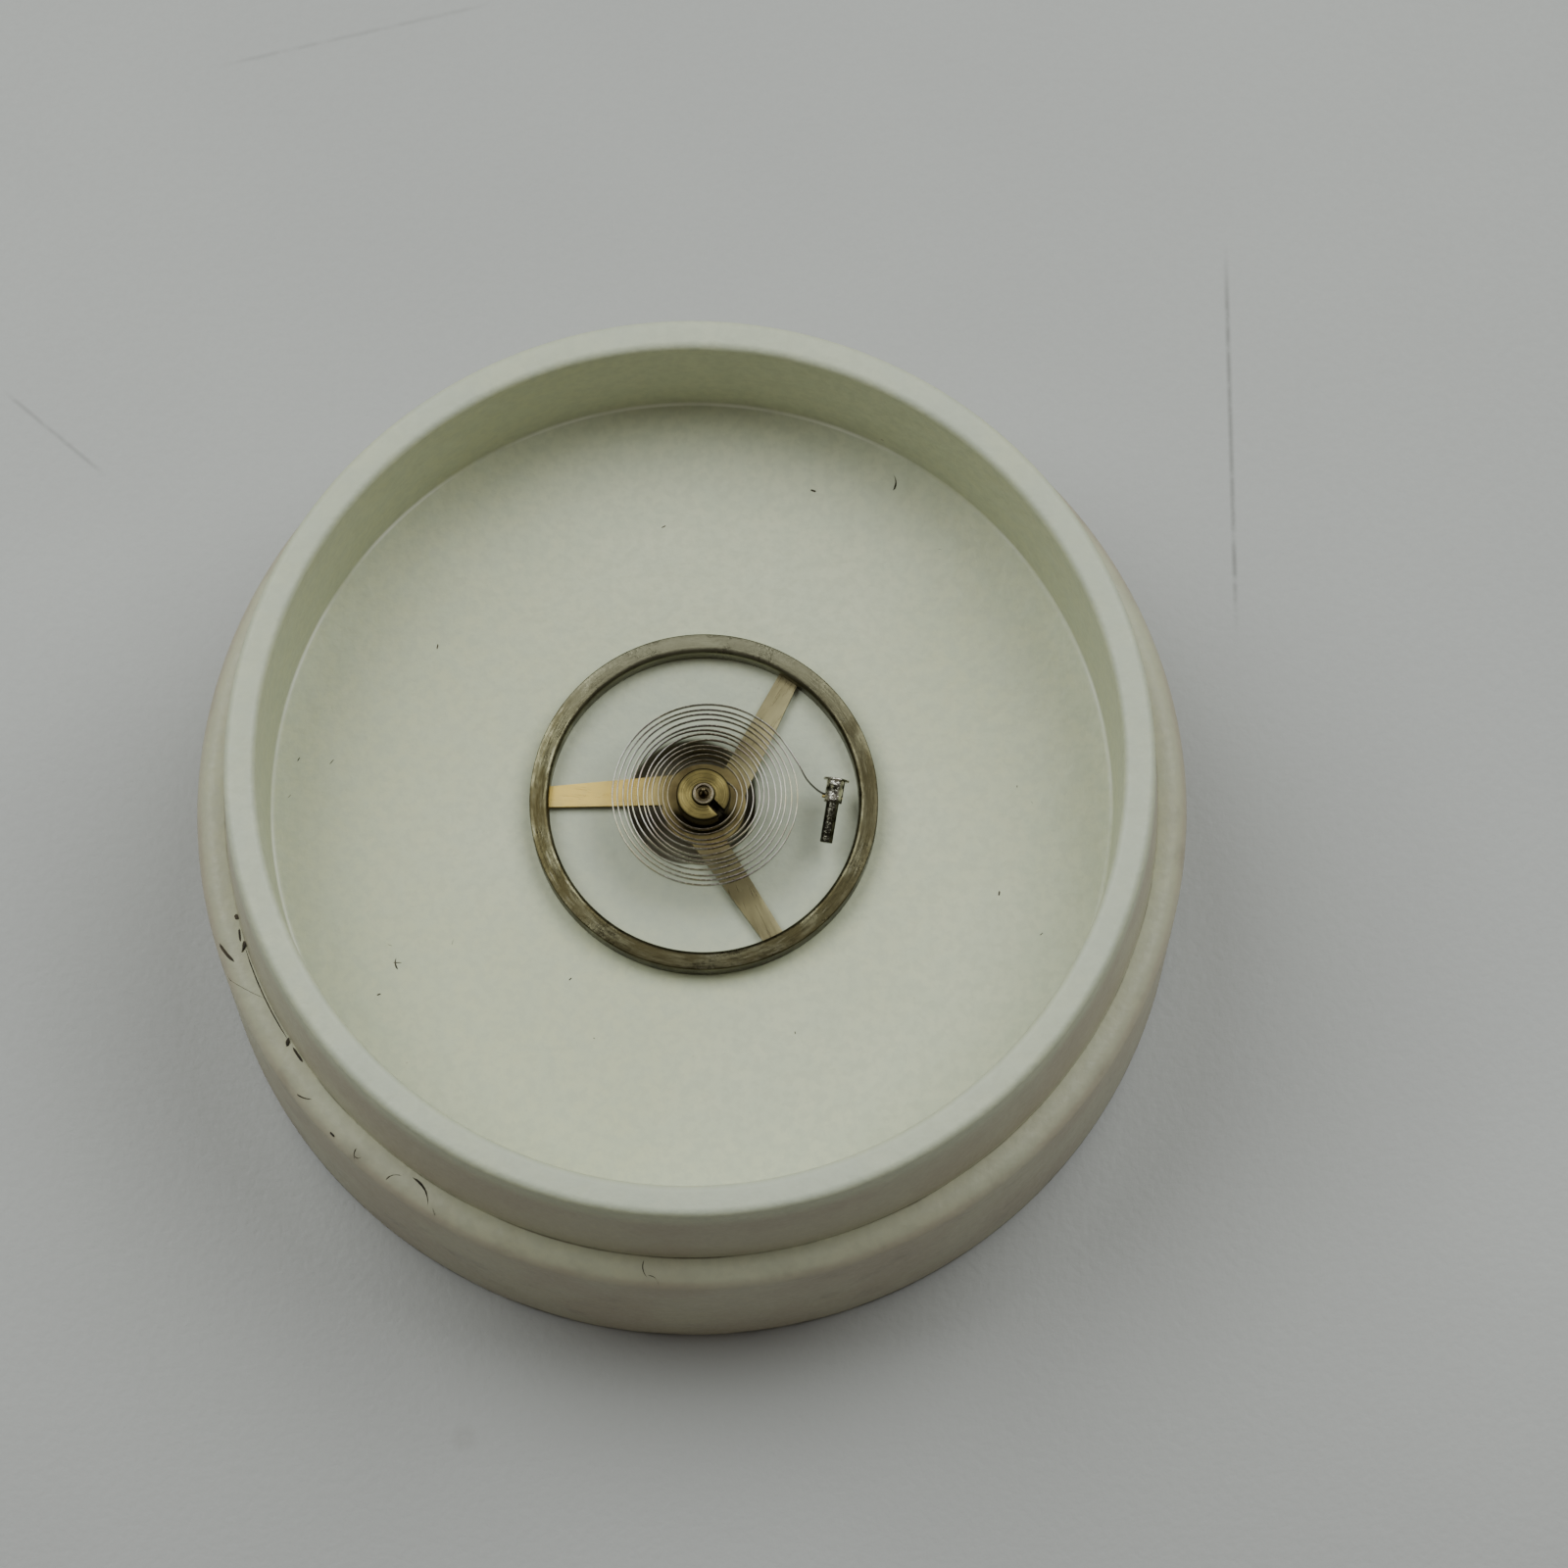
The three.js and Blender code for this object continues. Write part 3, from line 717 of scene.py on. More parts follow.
def stud_steel():
    """Steel, bright in places on the stud's head, with painted shade darkening its post."""
    f = Finish("stud_steel", Metallic=1.0)
    dull = f.patches(3.2, 3.0, 0.5)
    f.colour = f.mix(dull, (0.74, 0.71, 0.62), (0.05, 0.047, 0.03))
    # Painted shade darkens the stud's post
    post_starts = AXIS.y + STUD_REACH * math.sin(math.radians(STUD_ANGLE)) - STUD_HOLE_FROM_POST
    post_shade = f.ramp(f.along("Y"), post_starts - 0.02, post_starts + 0.1, 0.93, 0.0)
    tone = f.patches(5.0, 3.0, 0.4)
    f.paint(post_shade, f.mix(tone, (0.03, 0.029, 0.016), (0.085, 0.08, 0.055)))
    fine = f.grain(9.0, 3.0)
    f.roughen(fine, 0.12, 0.3)
    f.bump(fine, 0.03)
    return f.made()


def collet_brass():
    """Turned brass, with painted shade round its outer edge."""
    f = Finish("collet_brass", Metallic=1.0)
    rings = f.rings(40.0, AXIS)
    dull = f.patches(2.0, 5.0, 0.5)
    f.colour = f.mix(f.times(dull, 0.8), (0.17, 0.135, 0.048), (0.06, 0.048, 0.018))
    # Painted shade darkens the collet's outer edge
    edge = f.ramp(rings["Radius"], COLLET_RADIUS - 0.1, COLLET_RADIUS - 0.02, 0.0, 0.94)
    f.paint(edge, (0.02, 0.016, 0.008))

    # Painted shade makes the slot's cut faces very dark
    slot = math.radians(COLLET_SLOT_ANGLE)
    x = f.minus(f.along("X"), AXIS.x)
    y = f.minus(f.along("Y"), AXIS.y)
    aside = f.minus(f.times(y, math.cos(slot)), f.times(x, math.sin(slot)))
    outward = f.plus(f.times(x, math.cos(slot)), f.times(y, math.sin(slot)))
    inside = f.times(
        f.near(aside, 0.0, COLLET_SLOT / 2 + 0.004, COLLET_SLOT / 2 + 0.02),
        f.ramp(outward, 0.1, 0.2, 0.0, 0.96),
    )
    f.paint(inside, (0.012, 0.01, 0.005))
    f.roughen(rings["Height"], 0.24, 0.4)
    f.bump(rings["Height"], 0.005)
    return f.made()


def staff_steel():
    """Hardened steel, bright on its shoulders, with painted shade round the upper pivot and on the hub below
    the collet's slot.
    """
    f = Finish("staff_steel", Metallic=1.0)
    rings = f.rings(45.0, AXIS)
    dull = f.patches(3.0, 5.0, 0.4)
    f.colour = f.mix(f.times(dull, 0.7), (0.5, 0.43, 0.32), (0.24, 0.2, 0.13))
    # Painted shade in the recess round the upper pivot
    painted_shade = f.times(
        f.ramp(rings["Radius"], COLLET_SEAT_RADIUS - 0.09, COLLET_SEAT_RADIUS - 0.04, 0.93, 0.0),
        f.ramp(rings["Level"], 0.5, 0.7),
    )
    f.paint(painted_shade, (0.1, 0.078, 0.036))
    # Painted shadow on the hub where it shows through the collet's slot
    flange = f.times(
        f.ramp(rings["Radius"], COLLET_SEAT_RADIUS + 0.01, COLLET_SEAT_RADIUS + 0.03, 0.0, 0.95),
        f.ramp(rings["Level"], 0.1, 0.2),
    )
    f.paint(flange, (0.02, 0.016, 0.008))
    f.roughen(rings["Height"], 0.12, 0.26)
    f.bump(rings["Height"], 0.003)
    return f.made()


def blade_steel():
    """Flat-rolled spring steel with straw and purple temper colours, dark towards the stud."""
    f = Finish("blade_steel", Metallic=1.0)
    straw = f.patches(0.9, 3.0, 0.5)
    violet = f.patches(0.6, 3.0, 0.42)
    dark = f.patches(1.3, 4.0, 0.4)
    f.colour = f.mix(straw, (0.34, 0.33, 0.3), (0.33, 0.3, 0.2))
    f.paint(f.times(violet, 0.6), (0.25, 0.17, 0.2))
    f.paint(f.times(dark, 0.75), (0.13, 0.115, 0.08))
    reach = f.rings(1.0, AXIS)["Radius"]
    browned = f.ramp(reach, FIRST_COIL + 0.1, FIRST_COIL + 0.9, 0.7, 0.0)
    f.paint(browned, (0.12, 0.1, 0.055))
    coils_end = LAST_COIL + SPRING_DRIFT
    tail = f.ramp(reach, coils_end + 0.02, coils_end + 0.14, 0.0, 0.9)
    f.paint(tail, (0.05, 0.048, 0.04))
    fine = f.grain(20.0, 2.0)
    f.roughen(fine, 0.16, 0.3)
    return f.made()


def ruby_red():
    """Clear synthetic ruby, close enough to opaque at this size."""
    f = Finish("ruby_red", IOR=1.76, Coat_Weight=0.5)
    tone = f.patches(4.0, 2.0, 0.5)
    f.colour = f.mix(tone, (0.34, 0.006, 0.03), (0.5, 0.015, 0.06))
    fine = f.grain(30.0, 2.0)
    f.roughen(fine, 0.05, 0.1)
    return f.made()


# Faint creases in the bench's sheet, drawn as lines of painted shade: from, to, half width and strength
CREASES = [
    ((16.3, 6.8), (16.2, 20), 0.13, 0.75),
    ((-15.3, 25.5), (-6, 27.8), 0.12, 0.3),
    ((-21.3, 15.1), (-17.9, 12.2), 0.12, 0.45),
]


def crease(f, start, end, width, strength):
    """A mask of a broken thin line between two places on the bench."""
    along = (end - start).normalized()
    across = Vector((-along.y, along.x))

    def distance(direction):
        x = f.times(f.minus(f.along("X"), start.x), direction.x)
        y = f.times(f.minus(f.along("Y"), start.y), direction.y)
        return f.plus(x, y)

    half = (end - start).length / 2
    line = f.near(distance(across), 0.0, 0.0, width)
    within = f.near(distance(along), half, half * 0.6, half)
    broken = f.patches(1.3, 5.0, 0.6)
    return f.times(f.times(line, within), f.times(broken, strength))


def bench_top():
    """The pale grey sheet that the dish stands on."""
    f = Finish("bench_top")
    tone = f.patches(0.02, 3.0, 0.5)
    f.colour = f.mix(tone, (0.41, 0.415, 0.405), (0.435, 0.44, 0.43))
    cloudy = f.patches(0.13, 6.0, 0.5)
    f.paint(f.times(cloudy, 0.2), (0.375, 0.375, 0.37))
    # Painted shade: the sheet is darker towards the front
    f.paint(f.ramp(f.along("Y"), -8.0, -26.0, 0.0, 0.7), (0.32, 0.32, 0.315))
    # Painted shade along each crease
    for start, end, width, strength in CREASES:
        line = crease(f, Vector(start), Vector(end), width, strength)
        f.paint(line, (0.2, 0.2, 0.19))
    smudge = f.specks(0.14, 0.14, 0.3)
    f.paint(f.times(smudge, 0.22), (0.25, 0.24, 0.22))
    fine = f.grain(4.0, 4.0)
    f.roughen(fine, 0.5, 0.6)
    f.bump(fine, 0.02)
    return f.made()


PLASTIC = white_plastic()
LINT = lint()
NICKEL = tarnished_nickel()
GILT = gilt_arms()
STAFF_STEEL = staff_steel()
STUD_STEEL = stud_steel()
BRASS = turned_brass()
COLLET_BRASS = collet_brass()
BLADE = blade_steel()
RUBY = ruby_red()
BENCH = bench_top()


# ------------------------------------------------------------------ dish


def parts_dish():
    rim_foot = DISH_RADIUS - LEDGE_WIDTH
    rim_top = rim_foot - RIM_LEAN
    mouth = rim_top - RIM_WALL
    floor_radius = mouth - MOUTH_FLARE
    well_bottom = STAFF_LOW.z - WELL_CLEARANCE_BELOW
    web_bottom = well_bottom - WELL_FLOOR
    skirt = DISH_RADIUS - SKIRT_WALL
    rim_edge = DISH_HEIGHT - RIM_ROUNDING
    inner_skirt = skirt - SKIRT_LEAN
    profile = [
        (0, web_bottom),
        *arc(inner_skirt - SKIRT_FILLET, web_bottom - SKIRT_FILLET, SKIRT_FILLET, 90, 0, 6),
        *arc(skirt + FOOT_ROUNDING, FOOT_ROUNDING, FOOT_ROUNDING, 180, 270, 5),
        *arc(DISH_RADIUS - FOOT_ROUNDING, FOOT_ROUNDING, FOOT_ROUNDING, 270, 360, 5),
        *arc(DISH_RADIUS - LEDGE_ROUNDING, LEDGE - LEDGE_ROUNDING, LEDGE_ROUNDING, 0, 90, 12),
        (rim_foot + 0.05, LEDGE),
        (rim_foot, LEDGE - 0.015),
        (rim_foot - 0.01, LEDGE + 0.05),
        *arc(rim_top - RIM_ROUNDING, rim_edge, RIM_ROUNDING, 0, 90, 10),
        *arc(mouth + RIM_ROUNDING, rim_edge, RIM_ROUNDING, 90, 180, 10),
        *arc(floor_radius - FLOOR_FILLET, FLOOR + FLOOR_FILLET, FLOOR_FILLET, 0, -90, 6),
        *arc(WELL_RADIUS + WELL_ROUNDING, FLOOR - WELL_ROUNDING, WELL_ROUNDING, 90, 180, 5),
        *arc(WELL_RADIUS - WELL_ROUNDING, well_bottom + WELL_ROUNDING, WELL_ROUNDING, 0, -90, 4),
        (0, well_bottom),
    ]
    piece = new_piece("dish", turned(profile, LARGE_ROUND), PLASTIC)
    finished(piece, "dish", "white_plastic", "parts_dish")


# Each fleck on the ledge: its angle round the dish, radius, length, thickness, slant and bend
LEDGE_FLECKS = [
    (-165, 13.45, 0.18, 0.12, 0, 0),
    (-162.7, 13.5, 0.4, 0.07, 10, 0),
    (-161.2, 13.52, 0.34, 0.17, 25, -0.05),
    (-161.2, 14.0, 0.75, 0.13, -18, 0.02),
    (-156.4, 13.85, 1.5, 0.04, -35, 0.05),
    (-154.5, 13.46, 3.2, 0.04, 0, 0.02),
    (-148, 13.5, 0.22, 0.18, 20, 0),
    (-146, 13.46, 0.55, 0.08, 0, 0),
    (-141.5, 14.0, 0.5, 0.07, -28, 0.04),
    (-136, 14.1, 0.2, 0.08, 0, 0),
    (-132.4, 14.05, 0.3, 0.05, 60, 0.05),
    (-132, 14.05, 0.22, 0.04, -30, 0.05),
    (-127.1, 13.9, 0.46, 0.07, -50, -0.08),
    (-123.6, 13.8, 0.95, 0.1, 28, -0.16),
    (-121, 14.05, 0.2, 0.06, 40, 0),
    (-95.2, 13.75, 0.5, 0.035, 75, 0.08),
    (-94.2, 14.05, 0.4, 0.035, 35, -0.08),
]
# The same for the floor
FLOOR_FLECKS = [
    (-150.3, 9.67, 0.36, 0.06, 20, 0.05),
    (-150.4, 9.65, 0.26, 0.05, -60, 0),
    (58.9, 11.3, 0.5, 0.08, 60, 0.08),
    (69.6, 10.05, 0.18, 0.07, 0, 0),
    (173.4, 10.45, 0.2, 0.05, 30, 0),
]
# Grit scattered over the floor by chance
GRIT_COUNT = 16
GRIT_SEED = 11


def ledge_height(radius):
    over = max(0, min(radius - (DISH_RADIUS - LEDGE_ROUNDING), LEDGE_ROUNDING))
    return LEDGE - LEDGE_ROUNDING + math.sqrt(LEDGE_ROUNDING**2 - over**2)


def floor_height(radius):
    return FLOOR


def fleck(bm, height, angle, radius, length, thickness, slant, bend):
    """A bent fibre with pointed ends, lying on a surface whose height depends on the radius."""
    slant = math.radians(slant)
    steps, sides = 6, 5
    rings = []
    for i in range(steps + 1):
        share = 2 * i / steps - 1
        along = share * length / 2
        aside = bend * (1 - share**2)
        out = radius + along * math.sin(slant) + aside * math.cos(slant)
        out = min(out, DISH_RADIUS - thickness)
        turn = math.radians(angle) + (along * math.cos(slant) - aside * math.sin(slant)) / radius
        middle = Vector((out * math.cos(turn), out * math.sin(turn), height(out)))
        swell = thickness / 2 * math.sqrt(max(0, 1 - share**4))
        if swell < 1e-6:
            rings.append([bm.verts.new(middle)])
            continue
        across = Vector((math.cos(turn + slant), math.sin(turn + slant), 0))
        ring = []
        for k in range(sides):
            round_it = 2 * math.pi * k / sides
            lift = Vector((0, 0, 0.6 * math.sin(round_it)))
            ring.append(bm.verts.new(middle + swell * (across * math.cos(round_it) + lift)))
        rings.append(ring)
    for a, b in zip(rings, rings[1:]):
        for k in range(sides):
            j = (k + 1) % sides
            corners = [a[k % len(a)], a[j % len(a)], b[j % len(b)], b[k % len(b)]]
            bm.faces.new(list(dict.fromkeys(corners)))


def flecks():
    """Lint and grit caught on the ledge and the floor."""
    bm = bmesh.new()
    for place in LEDGE_FLECKS:
        fleck(bm, ledge_height, *place)
    for place in FLOOR_FLECKS:
        fleck(bm, floor_height, *place)
    scatter = random.Random(GRIT_SEED)
    for _ in range(GRIT_COUNT):
        angle = scatter.uniform(-180, 180)
        radius = scatter.uniform(6.2, 11.6)
        length = scatter.uniform(0.06, 0.16)
        slant = scatter.uniform(-90, 90)
        fleck(bm, floor_height, angle, radius, length, length * 0.35, slant, 0)
    piece = new_piece("lint_flecks", bm, LINT)
    finished(piece, "dish", "white_plastic")


# ------------------------------------------------------------------ balance


def arm_outline():
    """An arm whose anticlockwise edge is a radius, and whose other edge slants towards the rim."""
    inner = WHEEL_HUB_RADIUS / 2
    outer = WHEEL_RADIUS - WHEEL_RIM_WIDTH / 2
    return [(inner, 0), (inner, -ARM_WIDTH_AT_HUB), (outer, -ARM_WIDTH_AT_RIM), (outer, 0)]


def balance_wheel():
    inside = WHEEL_RADIUS - WHEEL_RIM_WIDTH
    edge, inner = 0.04, WHEEL_INNER_ROUNDING
    rim = [
        *arc(inside + edge, edge, edge, 180, 270, 3),
        *arc(WHEEL_RADIUS - edge, edge, edge, 270, 360, 3),
        *arc(WHEEL_RADIUS - edge, WHEEL_HEIGHT - edge, edge, 0, 90, 3),
        *arc(inside + inner, WHEEL_HEIGHT - inner, inner, 90, 180, 8),
    ]
    piece = new_piece("wheel", at_axis(turned(rim, LARGE_ROUND)), NICKEL)
    top = ARM_LIFT + ARM_THICKNESS
    hub = cylinder(WHEEL_HUB_RADIUS, ARM_LIFT, top, SMALL_ROUND)
    spider = new_piece("spider", at_axis(hub), GILT)
    for i in range(3):
        arm = plate(arm_outline(), ARM_LIFT, top)
        arm.transform(Matrix.Rotation(math.radians(ARM_EDGE_ANGLE + 120 * i), 4, "Z"))
        combine(spider, new_piece("arm", at_axis(arm), GILT), "UNION")
    cut(spider, at_axis(cylinder(RIVET_RADIUS + FIT_GAP, -1, 1, SMALL_ROUND)))
    soften(spider, 0.018)
    combine(piece, spider, "UNION")
    finished(piece, "balance", "tarnished_brass", "balance_wheel")


def balance_staff():
    low, high = STAFF_LOW.z - AXIS.z, STAFF_HIGH.z - AXIS.z
    arm_top = ARM_LIFT + ARM_THICKNESS
    hub_top = COLLET_LOW.z - AXIS.z - FIT_GAP
    shoulder = high - PIVOT_LENGTH - CONE_LENGTH
    rivet = ARM_LIFT - RIVET_HEAD
    tip = 0.03
    bevel = 0.02
    profile = [
        (0, low),
        *arc(PIVOT_RADIUS - tip, low + tip, tip, 270, 360, 4),
        (PIVOT_RADIUS, low + PIVOT_LENGTH),
        (ROLLER_SEAT_RADIUS - bevel, low + PIVOT_LENGTH + CONE_LENGTH),
        (ROLLER_SEAT_RADIUS, low + PIVOT_LENGTH + CONE_LENGTH + bevel),
        (ROLLER_SEAT_RADIUS, rivet),
        (RIVET_RADIUS + RIVET_FLARE, rivet),
        (RIVET_RADIUS, ARM_LIFT - FIT_GAP),
        (RIVET_RADIUS, arm_top + FIT_GAP),
        (HUB_RADIUS - bevel, arm_top + FIT_GAP),
        (HUB_RADIUS, arm_top + FIT_GAP + bevel),
        (HUB_RADIUS, hub_top - bevel),
        (HUB_RADIUS - bevel, hub_top),
        (COLLET_SEAT_RADIUS, hub_top),
        (COLLET_SEAT_RADIUS, shoulder - bevel),
        (COLLET_SEAT_RADIUS - bevel, shoulder),
        (COLLET_SEAT_RADIUS - STAFF_LAND, shoulder),
        (COLLET_SEAT_RADIUS - STAFF_LAND - bevel, shoulder - OIL_CUT),
        (PIVOT_RADIUS + 0.09, shoulder - OIL_CUT),
        (PIVOT_RADIUS + 0.05, shoulder - OIL_CUT + 0.04),
        (PIVOT_RADIUS + 0.02, shoulder + 0.04),
        (PIVOT_RADIUS, high - PIVOT_LENGTH),
        *arc(PIVOT_RADIUS - tip, high - tip, tip, 0, 90, 4),
        (0, high),
    ]
    piece = new_piece("staff", at_axis(turned(profile, SMALL_ROUND)), STAFF_STEEL)
    finished(piece, "balance", "polished_steel", "balance_staff", sharp=25)


def roller(name, low, high, radius, holes, node):
    """A roller: a disc with the staff's bore and other round holes, given as (distance, radius)."""
    bottom, top = low.z - AXIS.z, high.z - AXIS.z
    piece = new_piece(name, at_axis(cylinder(radius, bottom, top, SMALL_ROUND)), BRASS)
    for distance, bore in [(0, ROLLER_SEAT_RADIUS + FIT_GAP), *holes]:
        tool = cylinder(bore, bottom - 1, top + 1, FINE_ROUND)
        tool.transform(Matrix.Translation((0, distance, 0)))
        cut(piece, at_axis(tool))
    soften(piece, 0.02)
    finished(piece, "balance", "gilt_brass", node)


def impulse_jewel():
    """A round pin with a flat towards the edge of the roller."""
    bottom, top = JEWEL_LOW.z - AXIS.z, JEWEL_HIGH.z - AXIS.z
    flat = JEWEL_HIGH.y - JEWEL_LOW.y - JEWEL_RADIUS
    pin = cylinder(JEWEL_RADIUS, bottom, top, FINE_ROUND)
    pin.transform(Matrix.Translation((0, JEWEL_REACH, 0)))
    piece = new_piece("ruby_pin", at_axis(pin), RUBY)
    corners = (-1, JEWEL_REACH + flat, bottom - 1), (1, JEWEL_REACH + 1, top + 1)
    cut(piece, at_axis(block(*corners)))
    soften(piece, 0.012)
    finished(piece, "balance", "ruby", "impulse_jewel")


# ------------------------------------------------------------------ collet, pins and stud


def polar(radius, angle, z):
    return Vector((AXIS.x + radius * math.cos(angle), AXIS.y + radius * math.sin(angle), z))


class PinHole:
    """A hole that holds the spring's blade to the left of its middle and a taper pin to the right.

    Its heading is the way that the blade runs through it.
    """

    radius = SPRING_BREADTH / 2 + PIN_HOLE_ROOM
    room = math.sqrt(radius**2 - (SPRING_BREADTH / 2) ** 2)
    blade_side = room - FIT_GAP - SPRING_THICKNESS / 2 - 0.004
    pin_edge = blade_side - SPRING_THICKNESS / 2 - FIT_GAP
    pin_radius = (radius - FIT_GAP + pin_edge) / 2
    pin_side = pin_edge - pin_radius

    def __init__(self, centre, heading, half):
        self.half = half
        self.matrix = Matrix.Translation(centre) @ Matrix.Rotation(heading, 4, "Z")

    def point(self, along, side):
        return self.matrix @ Vector((along, side, 0))

    def drill(self):
        length = 2 * self.half
        tool = cylinder(self.radius, -length, length, FINE_ROUND)
        tool.transform(self.matrix @ Matrix.Rotation(math.pi / 2, 4, "Y"))
        return tool

    def pin(self, name, body, node):
        """The taper pin, its thick end standing out where the blade's heading begins."""
        thick, thin = self.pin_radius, self.pin_radius - PIN_TAPER
        start, end, tip = -self.half - PIN_SPARE, self.half, 0.015
        profile = [
            (0, start),
            *arc(thick - tip, start + tip, tip, 270, 360, 3),
            *arc(thin - tip, end - tip, tip, 0, 90, 3),
            (0, end),
        ]
        bm = turned(profile, FINE_ROUND)
        aside = Matrix.Translation((0, self.pin_side, 0))
        bm.transform(self.matrix @ aside @ Matrix.Rotation(math.pi / 2, 4, "Y"))
        finished(new_piece(name, bm, BRASS), body, "gilt_brass", node)


LAST_ANGLE = math.radians(SPRING_LAST_ANGLE)
FIRST_ANGLE = LAST_ANGLE + SPRING_TURNS * 2 * math.pi
COLLET_HOLE_REACH = (COLLET_SEAT_RADIUS + COLLET_RADIUS) / 2
COLLET_HOLE_HALF = math.sqrt(COLLET_RADIUS**2 - COLLET_HOLE_REACH**2)
COLLET_HOLE_OPENING = math.atan2(COLLET_HOLE_HALF, COLLET_HOLE_REACH)
COLLET_HOLE_ANGLE = FIRST_ANGLE + math.radians(SPRING_LEAD) + COLLET_HOLE_OPENING

collet_hole = PinHole(
    centre=polar(COLLET_HOLE_REACH, COLLET_HOLE_ANGLE, SPRING_HEIGHT),
    heading=COLLET_HOLE_ANGLE - math.pi / 2,
    half=COLLET_HOLE_HALF,
)
stud_hole = PinHole(
    centre=polar(STUD_REACH, math.radians(STUD_ANGLE), SPRING_HEIGHT - STUD_DROP),
    heading=math.radians(-STUD_LEAN),
    half=STUD_HEAD_RADIUS,
)


def collet():
    bottom, top = COLLET_LOW.z - AXIS.z, COLLET_HIGH.z - AXIS.z
    bore = COLLET_SEAT_RADIUS + FIT_GAP
    edge = 0.05
    profile = [
        (bore, bottom),
        *arc(COLLET_RADIUS - edge, bottom + edge, edge, 270, 360, 4),
        *arc(COLLET_RADIUS - edge, top - edge, edge, 0, 90, 4),
        (bore + 0.02, top),
        (bore, top - 0.02),
    ]
    piece = new_piece("split_collet", at_axis(turned(profile, SMALL_ROUND)), COLLET_BRASS)
    slot = block((0.1, -COLLET_SLOT / 2, bottom - 1), (COLLET_RADIUS + 1, COLLET_SLOT / 2, top + 1))
    slot.transform(Matrix.Rotation(math.radians(COLLET_SLOT_ANGLE), 4, "Z"))
    cut(piece, at_axis(slot))
    cut(piece, collet_hole.drill())
    soften(piece, 0.012, segments=2, angle=50)
    finished(piece, "balance", "gilt_brass", "collet")


def hairspring_stud():
    """A turned stud, cross-drilled at its head, lying over on its side."""
    top = STUD_HOLE_FROM_POST - STUD_HEAD_LENGTH
    post_end = STUD_HOLE_FROM_POST + STUD_POST_LENGTH
    flange, edge = STUD_FLANGE_THICKNESS, 0.03
    profile = [
        (0, top),
        *arc(STUD_FLANGE_RADIUS - edge, top + edge, edge, 270, 360, 3),
        *arc(STUD_FLANGE_RADIUS - edge, top + flange - edge, edge, 0, 90, 3),
        (STUD_HEAD_RADIUS, top + flange),
        *arc(STUD_HEAD_RADIUS - edge, STUD_HOLE_FROM_POST - edge, edge, 0, 90, 3),
        (STUD_POST_RADIUS, STUD_HOLE_FROM_POST),
        *arc(STUD_POST_RADIUS - edge, post_end - edge, edge, 0, 90, 3),
        (0, post_end),
    ]
    bm = turned(profile, SMALL_ROUND)
    bm.transform(stud_hole.matrix @ Matrix.Rotation(math.radians(90 + STUD_DROOP), 4, "X"))
    piece = new_piece("stud_body", bm, STUD_STEEL)
    cut(piece, stud_hole.drill())
    finished(piece, "stud", "polished_steel", "hairspring_stud", sharp=30)


# ------------------------------------------------------------------ hairspring


def smooth_path(points, spacing):
    """Points close together along a curve that runs evenly through the given ones."""
    ends = [2 * points[0] - points[1], *points, 2 * points[-1] - points[-2]]
    path = []
    for i in range(1, len(ends) - 2):
        p0, p1, p2, p3 = ends[i - 1 : i + 3]
        t1 = (p1 - p0).length ** 0.5
        t2 = t1 + (p2 - p1).length ** 0.5
        t3 = t2 + (p3 - p2).length ** 0.5
        steps = max(1, round((p2 - p1).length / spacing))
        for k in range(steps):
            t = t1 + (t2 - t1) * k / steps
            a = p0.lerp(p1, t / t1)
            b = p1.lerp(p2, (t - t1) / (t2 - t1))
            c = p2.lerp(p3, (t - t2) / (t3 - t2))
            d = a.lerp(b, t / t2)
            e = b.lerp(c, (t - t1) / (t3 - t1))
            path.append(d.lerp(e, (t - t1) / (t2 - t1)))
    path.append(points[-1].copy())
    return path


def blade_path():
    """The blade's middle line, from the collet's pin hole, round the coils and into the stud."""
    side = PinHole.blade_side
    points = [collet_hole.point(COLLET_HOLE_HALF * share, side) for share in (-0.5, 0, 0.5, 1)]
    stops = round(SPRING_TURNS * STOPS_PER_TURN)
    for i in range(stops + 1):
        share = i / stops
        turn = FIRST_ANGLE + (LAST_ANGLE - FIRST_ANGLE) * share
        waver = COIL_WAVER * math.sin(COIL_WAVES * turn) * math.sin(math.pi * share)
        point = polar(FIRST_COIL + (LAST_COIL - FIRST_COIL) * share + waver, turn, SPRING_HEIGHT)
        point.x += SPRING_DRIFT * share
        points.append(point)
    for i, (out, degrees) in enumerate(TAIL_BENDS):
        sunk = STUD_DROP * (i + 1) / (len(TAIL_BENDS) + 1)
        points.append(polar(LAST_COIL + out, math.radians(degrees), SPRING_HEIGHT - sunk))
    for along in (-STUD_HEAD_RADIUS - TAIL_ELBOW, 0, STUD_HEAD_RADIUS):
        points.append(stud_hole.point(along, side))
    return smooth_path(points, BLADE_SPACING)


def blade_section():
    """The blade's section with its corners rounded, as (across, up) points."""
    across, up, edge = SPRING_THICKNESS / 2, SPRING_BREADTH / 2, 0.008
    corners = [(1, 1, 0), (-1, 1, 90), (-1, -1, 180), (1, -1, 270)]
    points = []
    for side, level, start in corners:
        points += arc(side * (across - edge), level * (up - edge), edge, start, start + 90, 2)
    return points


